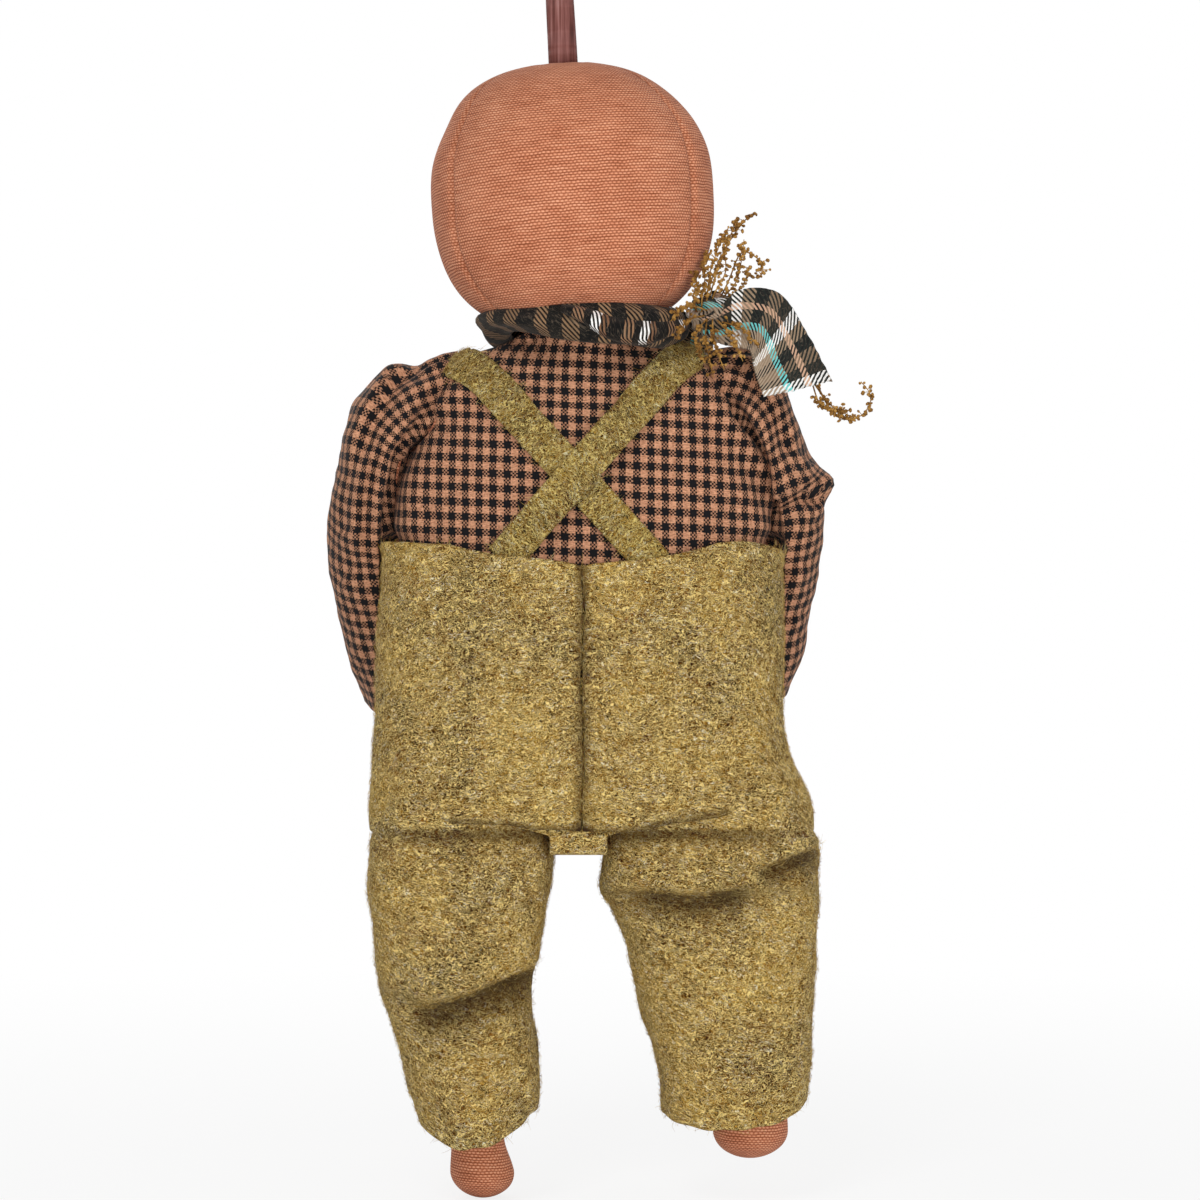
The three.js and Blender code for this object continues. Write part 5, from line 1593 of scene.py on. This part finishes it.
def tailPoint(tail, seen):
    def edge(points, v):
        x, z, y = alongTable([(k / (len(points) - 1), *p) for k, p in enumerate(points)], v)
        return seenAt(x, z, y) if seen else Vector((x, y, z))

    def place(u, v):
        a, b = edge(tail["edgeA"], v), edge(tail["edgeB"], v)
        point = a.lerp(b, u)
        later, earlier = min(v + 0.02, 1), max(v - 0.02, 0)
        after = edge(tail["edgeA"], later).lerp(edge(tail["edgeB"], later), u)
        before = edge(tail["edgeA"], earlier).lerp(edge(tail["edgeB"], earlier), u)
        out = (b - a).cross(after - before)
        out.normalize()
        wave = tail["depth"] * math.sin(2 * math.pi * tail["waves"] * u + 1.5 * v) * ease(0.0, 0.25, v)
        fold = tailShape["fold"] * math.exp(-((u - 0.5) / 0.3) ** 2)
        wave += fold * ease(0.0, 0.15, v) * ease(0.9, 0.4, v)
        wave += tailShape["gathers"] * math.cos(5 * math.pi * u) * ease(0.3, 0.05, v)
        ragged = tailShape["ragged"] * ripple(u * 30, v * 2, 0, 1.2, 3.0) * ease(0.94, 1.0, v)
        sides = tailShape["sides"] * ripple(u * 3, v * 45, 0, 1.1, 5.0) * ease(0.4, 0.5, abs(u - 0.5))
        point += (after - before).normalized() * ragged + (b - a).normalized() * sides
        return point + out * wave
    return place


def buildScarf():
    band = cutCloth(scarfShape["columns"], scarfShape["rows"], bandPoint, closed=True, reach=60,
                    frontOnly=False)
    piece = makePiece("scarfBand", band, plaidFlannel("plaidRoll", "roll", 6.0, 8.0), wall=scarfShape["wall"])
    settle(piece, "torso", "plaid_flannel", "scarf_band")
    over = cutCloth(scarfShape["outerColumns"], scarfShape["outerRows"], overBandPoint, middle=0.0)
    cloth = plaidFlannel("plaidWrap", "wrap", -12.6, 6.0)
    piece = makePiece("scarfOuterTurn", over, cloth, wall=scarfShape["wall"])
    settle(piece, "torso", "plaid_flannel")
    knot = cutCloth(knotShape["columns"], knotShape["rows"], knotPoint, closed=True)
    piece = makePiece("scarfKnot", knot, plaidFlannel("plaidKnot", "tail", 11.0, 26.0))
    settle(piece, "torso", "plaid_flannel", "scarf_knot")
    for name in ("back", "front"):
        tail = tailShape[name]
        sheet = cutCloth(tailShape["columns"], tailShape["rows"], tailPoint(tail, name == "back"))
        cloth = plaidFlannel("plaid" + name.capitalize() + "Tail", "tail", tail["along"], 17.0, turned=True)
        piece = makePiece("scarfTail" + name.capitalize(), sheet, cloth, wall=tailShape["wall"],
                          wallSide=0.0)
        settle(piece, "torso", "plaid_flannel", "scarf_tail_" + name)


# Dried sprigs: thin stems with many small pods

sprigShape = {
    "upper": {
        "stems": [
            [(-46, 12, 204), (-47, 15, 212), (-51, 16, 222), (-56, 15, 232), (-62, 14, 240),
             (-64, 13.5, 241)],
            [(-47, 13, 204), (-49, 15, 214), (-53, 16, 226), (-57, 15, 236), (-59, 14, 238)],
            [(-47, 13, 204), (-50, 16, 212), (-54, 17, 220), (-53, 17, 231), (-55, 16, 236)],
            [(-46, 14, 203), (-47, 17, 210), (-48, 18, 219), (-51, 17, 228), (-53, 16, 233)],
            [(-45, 14, 203), (-45, 18, 209), (-46, 19, 216), (-46, 18, 223), (-47, 17, 226)],
            [(-48, 12, 204), (-53, 14, 210), (-58, 15, 216), (-60, 15, 224), (-61, 14.5, 232)],
            [(-48, 12, 205), (-54, 13, 210), (-59, 14, 212), (-62, 14, 218), (-63, 14, 222)],
            [(-44, 13, 203), (-42, 18, 208), (-43, 19, 213), (-42, 18, 219)],
            [(-50, 12, 206), (-55, 13, 216), (-60, 15, 227), (-67, 15, 224), (-68, 15, 220), (-66, 15, 217)],
        ],
        "pods": 40, "seed": 11,
    },
    "lower": {
        "stems": [
            [(-48, 16, 203), (-44, 24, 198), (-42, 28, 192), (-46, 30, 184)],
            [(-49, 17, 203), (-49, 24, 196), (-50, 28, 190), (-53, 29, 182)],
            [(-50, 18, 202), (-53, 25, 198), (-57, 28, 192), (-60, 29, 185)],
            [(-46, 17, 203), (-40, 25, 201), (-37, 29, 197), (-35, 30, 193)],
            [(-50, 18, 201), (-56, 25, 199), (-61, 28, 196), (-66, 29, 190)],
            [(-47, 17, 205), (-41, 25, 206), (-36, 28, 204), (-33, 29, 200)],
            [(-47, 17, 202), (-46, 25, 194), (-47, 29, 188), (-49, 29, 179)],
        ],
        "pods": 26, "seed": 23,
    },
    "curl": {
        "stems": [
            [(-62, 12, 199), (-74, 14, 194), (-86, 20, 180), (-91, 20, 172), (-95, 20, 168),
             (-103, 19.5, 164.5), (-107.5, 19, 168), (-108.5, 19, 173), (-105, 18.5, 178)],
            [(-84, 19, 182), (-90, 20, 173), (-94, 20, 166), (-98, 20, 164), (-103, 20, 163)],
            [(-86, 19, 179), (-89, 20, 170), (-93, 20, 167), (-101, 20, 167)],
        ],
        "pods": 46, "seed": 37,
    },
}


# in millimetres: the radius of a stem and of a pod's stalk, a pod's size, and how far out it sits
twigShape = {
    "stem": 0.34, "stalk": 0.16, "sides": 5, "steps": 5, "pod": (0.45, 0.85), "far": (1.0, 3.0), "near": 0.7,
}


def addTwig(form, line, radius):
    table = [(k / (len(line) - 1), *p) for k, p in enumerate(line)]
    steps = twigShape["steps"] * (len(line) - 1)
    points = [Vector(alongTable(table, k / steps)) for k in range(steps + 1)]
    made = bmesh.ops.create_circle(form, cap_ends=True, radius=radius * mm, segments=twigShape["sides"])
    face = faceOn(form, made["verts"])
    for k, point in enumerate(points):
        ahead = points[min(k + 1, steps)] - points[max(k - 1, 0)]
        if k:
            face = extrudeFace(form, face)
        turn = ahead.to_track_quat("Z", "Y").to_matrix()
        narrow = 1 - 0.5 * k / steps
        for corner, vert in enumerate(face.verts):
            angle = corner * math.tau / len(face.verts)
            side = Vector((math.cos(angle), math.sin(angle), 0)) * radius * narrow
            vert.co = (point + turn @ side) * mm
    return points


def addPod(form, centre, size, draw):
    verts = bmesh.ops.create_icosphere(form, subdivisions=1, radius=size * mm)["verts"]
    stretch = Matrix.Diagonal((1, 0.8 + 0.3 * draw.random(), 1.1 + 0.5 * draw.random(), 1))
    angle = draw.random() * math.tau
    turn = Matrix.Rotation(angle, 4, Vector((draw.random(), draw.random(), 0.3)).normalized())
    bmesh.ops.transform(form, verts=verts, matrix=Matrix.Translation(centre * mm) @ turn @ stretch)


def buildSprigs():
    for name, shape in sprigShape.items():
        draw = random.Random(shape["seed"])
        form = bmesh.new()
        for stem in shape["stems"]:
            points = addTwig(form, stem, twigShape["stem"])
            for k in range(shape["pods"]):
                place = 0.3 + 0.7 * (k + draw.random()) / shape["pods"]
                base = points[min(int(place * (len(points) - 1)), len(points) - 1)]
                away = Vector((draw.uniform(-1, 1), draw.uniform(-1, 1), draw.uniform(-0.4, 1)))
                away.normalize()
                tip = base + away * draw.uniform(*twigShape["far"])
                if k % 2 == 0:
                    addTwig(form, [base, base.lerp(tip, 0.5) + Vector((0, 0, 0.2)), tip], twigShape["stalk"])
                else:
                    tip = base + away * twigShape["near"]
                addPod(form, tip, draw.uniform(*twigShape["pod"]), draw)
        bmesh.ops.recalc_face_normals(form, faces=form.faces)
        piece = makePiece("sprig" + name.capitalize(), form, plant)
        settle(piece, "torso", "dried_sprig", "sprig_" + name)


# Fuzz: fine wool hairs that stand off the felt

hairShape = {
    "length": (1.6, 5.0), "lift": (0.15, 1.1), "sway": 1.6, "radius": 0.07, "steps": 2, "sink": 0.2,
}
# one hair is doubled this often. The hairs lie on these pieces, over or under a height
fuzzShape = {
    "leftOverallsFuzz": {"body": "torso", "slot": "felt", "pieces": ("leftOveralls", "feltBib"), "over": 14,
                         "doublings": 13},
    "rightOverallsFuzz": {"body": "torso", "slot": "felt", "pieces": ("rightOveralls",), "over": 14,
                          "doublings": 13},
    "strapFuzz": {"body": "torso", "slot": "strap_felt", "pieces": ("leftStrap", "rightStrap"), "over": 90,
                  "doublings": 11},
    "leftTrouserFuzz": {"body": "left_leg", "slot": "felt", "pieces": ("leftTrouser",), "under": 6,
                        "doublings": 13},
    "rightTrouserFuzz": {"body": "right_leg", "slot": "felt", "pieces": ("rightTrouser",), "under": 6,
                         "doublings": 13},
}


# one hair along Z, three-sided, a unit wide and a unit long
def hairForm():
    form = bmesh.new()
    bmesh.ops.create_circle(form, cap_ends=True, radius=1, segments=3)
    face = firstFace(form)
    for step in range(hairShape["steps"]):
        face = extrudeFace(form, face)
        bmesh.ops.translate(form, verts=face.verts, vec=(0, 0, 1 / hairShape["steps"]))
    bmesh.ops.recalc_face_normals(form, faces=form.faces)
    return form


def buildFuzz(name, shape, material, draw):
    spots, areas = [], []
    for pieceName in shape["pieces"]:
        mesh = bpy.data.objects[pieceName].data
        for face in mesh.polygons:
            height = face.center.z / mm
            if height < shape.get("over", -1e3) or height > shape.get("under", 1e3):
                continue
            spots.append(([mesh.vertices[k].co.copy() for k in face.vertices], face.normal.copy()))
            areas.append(face.area)
    form = hairForm()
    corners = len(form.verts)
    for k in range(shape["doublings"]):
        mesh = bpy.data.meshes.new("hairs")
        form.to_mesh(mesh)
        form.from_mesh(mesh)
        bpy.data.meshes.remove(mesh)
    roots = draw.choices(spots, weights=areas, k=2 ** shape["doublings"])
    for k, vert in enumerate(form.verts):
        if k % corners == 0:
            points, outward = roots[k // corners]
            a, b = draw.random(), draw.random()
            root = points[0].lerp(points[1], a).lerp(points[-1].lerp(points[-2], a), b) / mm
            level = Vector((-outward.y, outward.x, 0))
            level = level.normalized() if level.length > 0.2 else Vector((1, 0, 0))
            spin = draw.gauss(0, 0.9) + (math.pi if draw.random() < 0.5 else 0)
            run = Matrix.Rotation(spin, 3, outward) @ level
            aside = outward.cross(run)
            length, lift = draw.uniform(*hairShape["length"]), draw.uniform(*hairShape["lift"])
            bow, sway = draw.random(), draw.uniform(-1, 1) * hairShape["sway"]
            radius = hairShape["radius"] * draw.uniform(0.7, 1.3)
        x, y, along = vert.co
        thin = radius * (1 - 0.6 * along)
        rise = lift * (bow * 4 * along * (1 - along) + (1 - bow) * along) - hairShape["sink"] * (1 - along)
        spot = root + run * length * along + aside * (sway * along * along) + outward * rise
        vert.co = (spot + (aside * x + outward * y) * thin) * mm
    bmesh.ops.recalc_face_normals(form, faces=form.faces)
    for face in form.faces:
        face.smooth = True
    settle(makePiece(name, form, material), shape["body"], shape["slot"])


buildBody()
buildShirt()
print("body and shirt made")
buildHead()
buildStem()
buildFace()
print("head made")
buildArms()
print("arms made")
buildOveralls()
buildLegs()
print("overalls and legs made")
buildStraps()
print("straps and bib made")
hairDraw = random.Random(5)
wool = feltHair()
for fuzzName, fuzz in fuzzShape.items():
    buildFuzz(fuzzName, fuzz, wool, hairDraw)
print("felt hairs made")
buildScarf()
buildSprigs()
print("scarf and sprigs made")


# Floor, light and camera

# in metres. The floor is seen as white from the far reach on, and as partly lit up to the near one, so
# that it keeps the doll's shadow
stageShape = {
    "floor": -0.1334, "floorSize": 4, "near": 0.25, "far": 0.9, "nearWhite": 0.82, "worldLight": 0.4,
    "aim": (0, 0, 0.09),
    # place, size and power
    "lamps": {
        "keyLamp": ((0.42, 1.35, 1.35), (0.6, 0.6), 9.2), "fillLamp": ((-0.35, 1.25, 0.03), (1.6, 0.26), 8.6),
        "faceLamp": ((0.3, -1.8, 1.0), (1.5, 1.5), 15.0),
    },
}


def buildStage():
    stage = stageShape
    form = bmesh.new()
    bmesh.ops.create_grid(form, x_segments=1, y_segments=1, size=stage["floorSize"])
    bmesh.ops.translate(form, verts=form.verts, vec=(0, 0, stage["floor"]))
    material = bpy.data.materials.new("paleFloor")
    material.use_nodes = True
    tree = material.node_tree
    shader = tree.nodes["Principled BSDF"]
    shader.inputs["Base Color"].default_value = (0.86, 0.86, 0.86, 1)
    shader.inputs["Roughness"].default_value = 0.9
    white = node(tree, "Emission", {"Color": (1, 1, 1, 1), "Strength": 1.0})
    mixed = node(tree, "MixShader", {1: shader.outputs[0], 2: white.outputs[0]})
    place = node(tree, "TexCoord").outputs["Object"]
    away = node(tree, "VectorMath", {0: place}, operation="LENGTH").outputs["Value"]
    ends = {"Value": away, 1: stage["near"], 2: stage["far"], 3: stage["nearWhite"], 4: 1.0}
    whiteness = node(tree, "MapRange", ends).outputs[0]
    tree.links.new(count(tree, "MULTIPLY", seenDirectly(tree), whiteness), mixed.inputs[0])
    tree.links.new(mixed.outputs[0], tree.nodes["Material Output"].inputs[0])
    makePiece("floor", form, material)

    world = bpy.data.worlds.new("studio")
    bpy.context.scene.world = world
    world.use_nodes = True
    tree = world.node_tree
    background = tree.nodes["Background"]
    background.inputs["Color"].default_value = (1, 1, 1, 1)
    light = stage["worldLight"]
    strength = count(tree, "MULTIPLY_ADD", seenDirectly(tree), 1 - light, light)
    tree.links.new(strength, background.inputs["Strength"])

    for name, (place, size, energy) in stage["lamps"].items():
        lamp = bpy.data.lights.new(name, "AREA")
        lamp.shape = "RECTANGLE"
        lamp.size, lamp.size_y = size
        lamp.energy = energy
        holder = bpy.data.objects.new(name, lamp)
        holder.location = place
        holder.rotation_euler = (Vector(stage["aim"]) - Vector(place)).to_track_quat("-Z", "Y").to_euler()
        bpy.context.scene.collection.objects.link(holder)

    shape = viewShape
    camera = bpy.data.cameras.new("camera")
    camera.sensor_fit = "HORIZONTAL"
    camera.sensor_width = 36
    camera.lens = 36 * shape["distance"] / shape["height"]
    camera.clip_end = 20
    holder = bpy.data.objects.new("camera", camera)
    holder.location = (shape["x"] * mm, shape["distance"], shape["z"] * mm)
    holder.rotation_euler = (math.radians(90), 0, math.radians(180))
    bpy.context.scene.collection.objects.link(holder)
    bpy.context.scene.camera = holder
    bpy.context.scene.view_settings.view_transform = "Standard"


buildStage()
print("stage made")
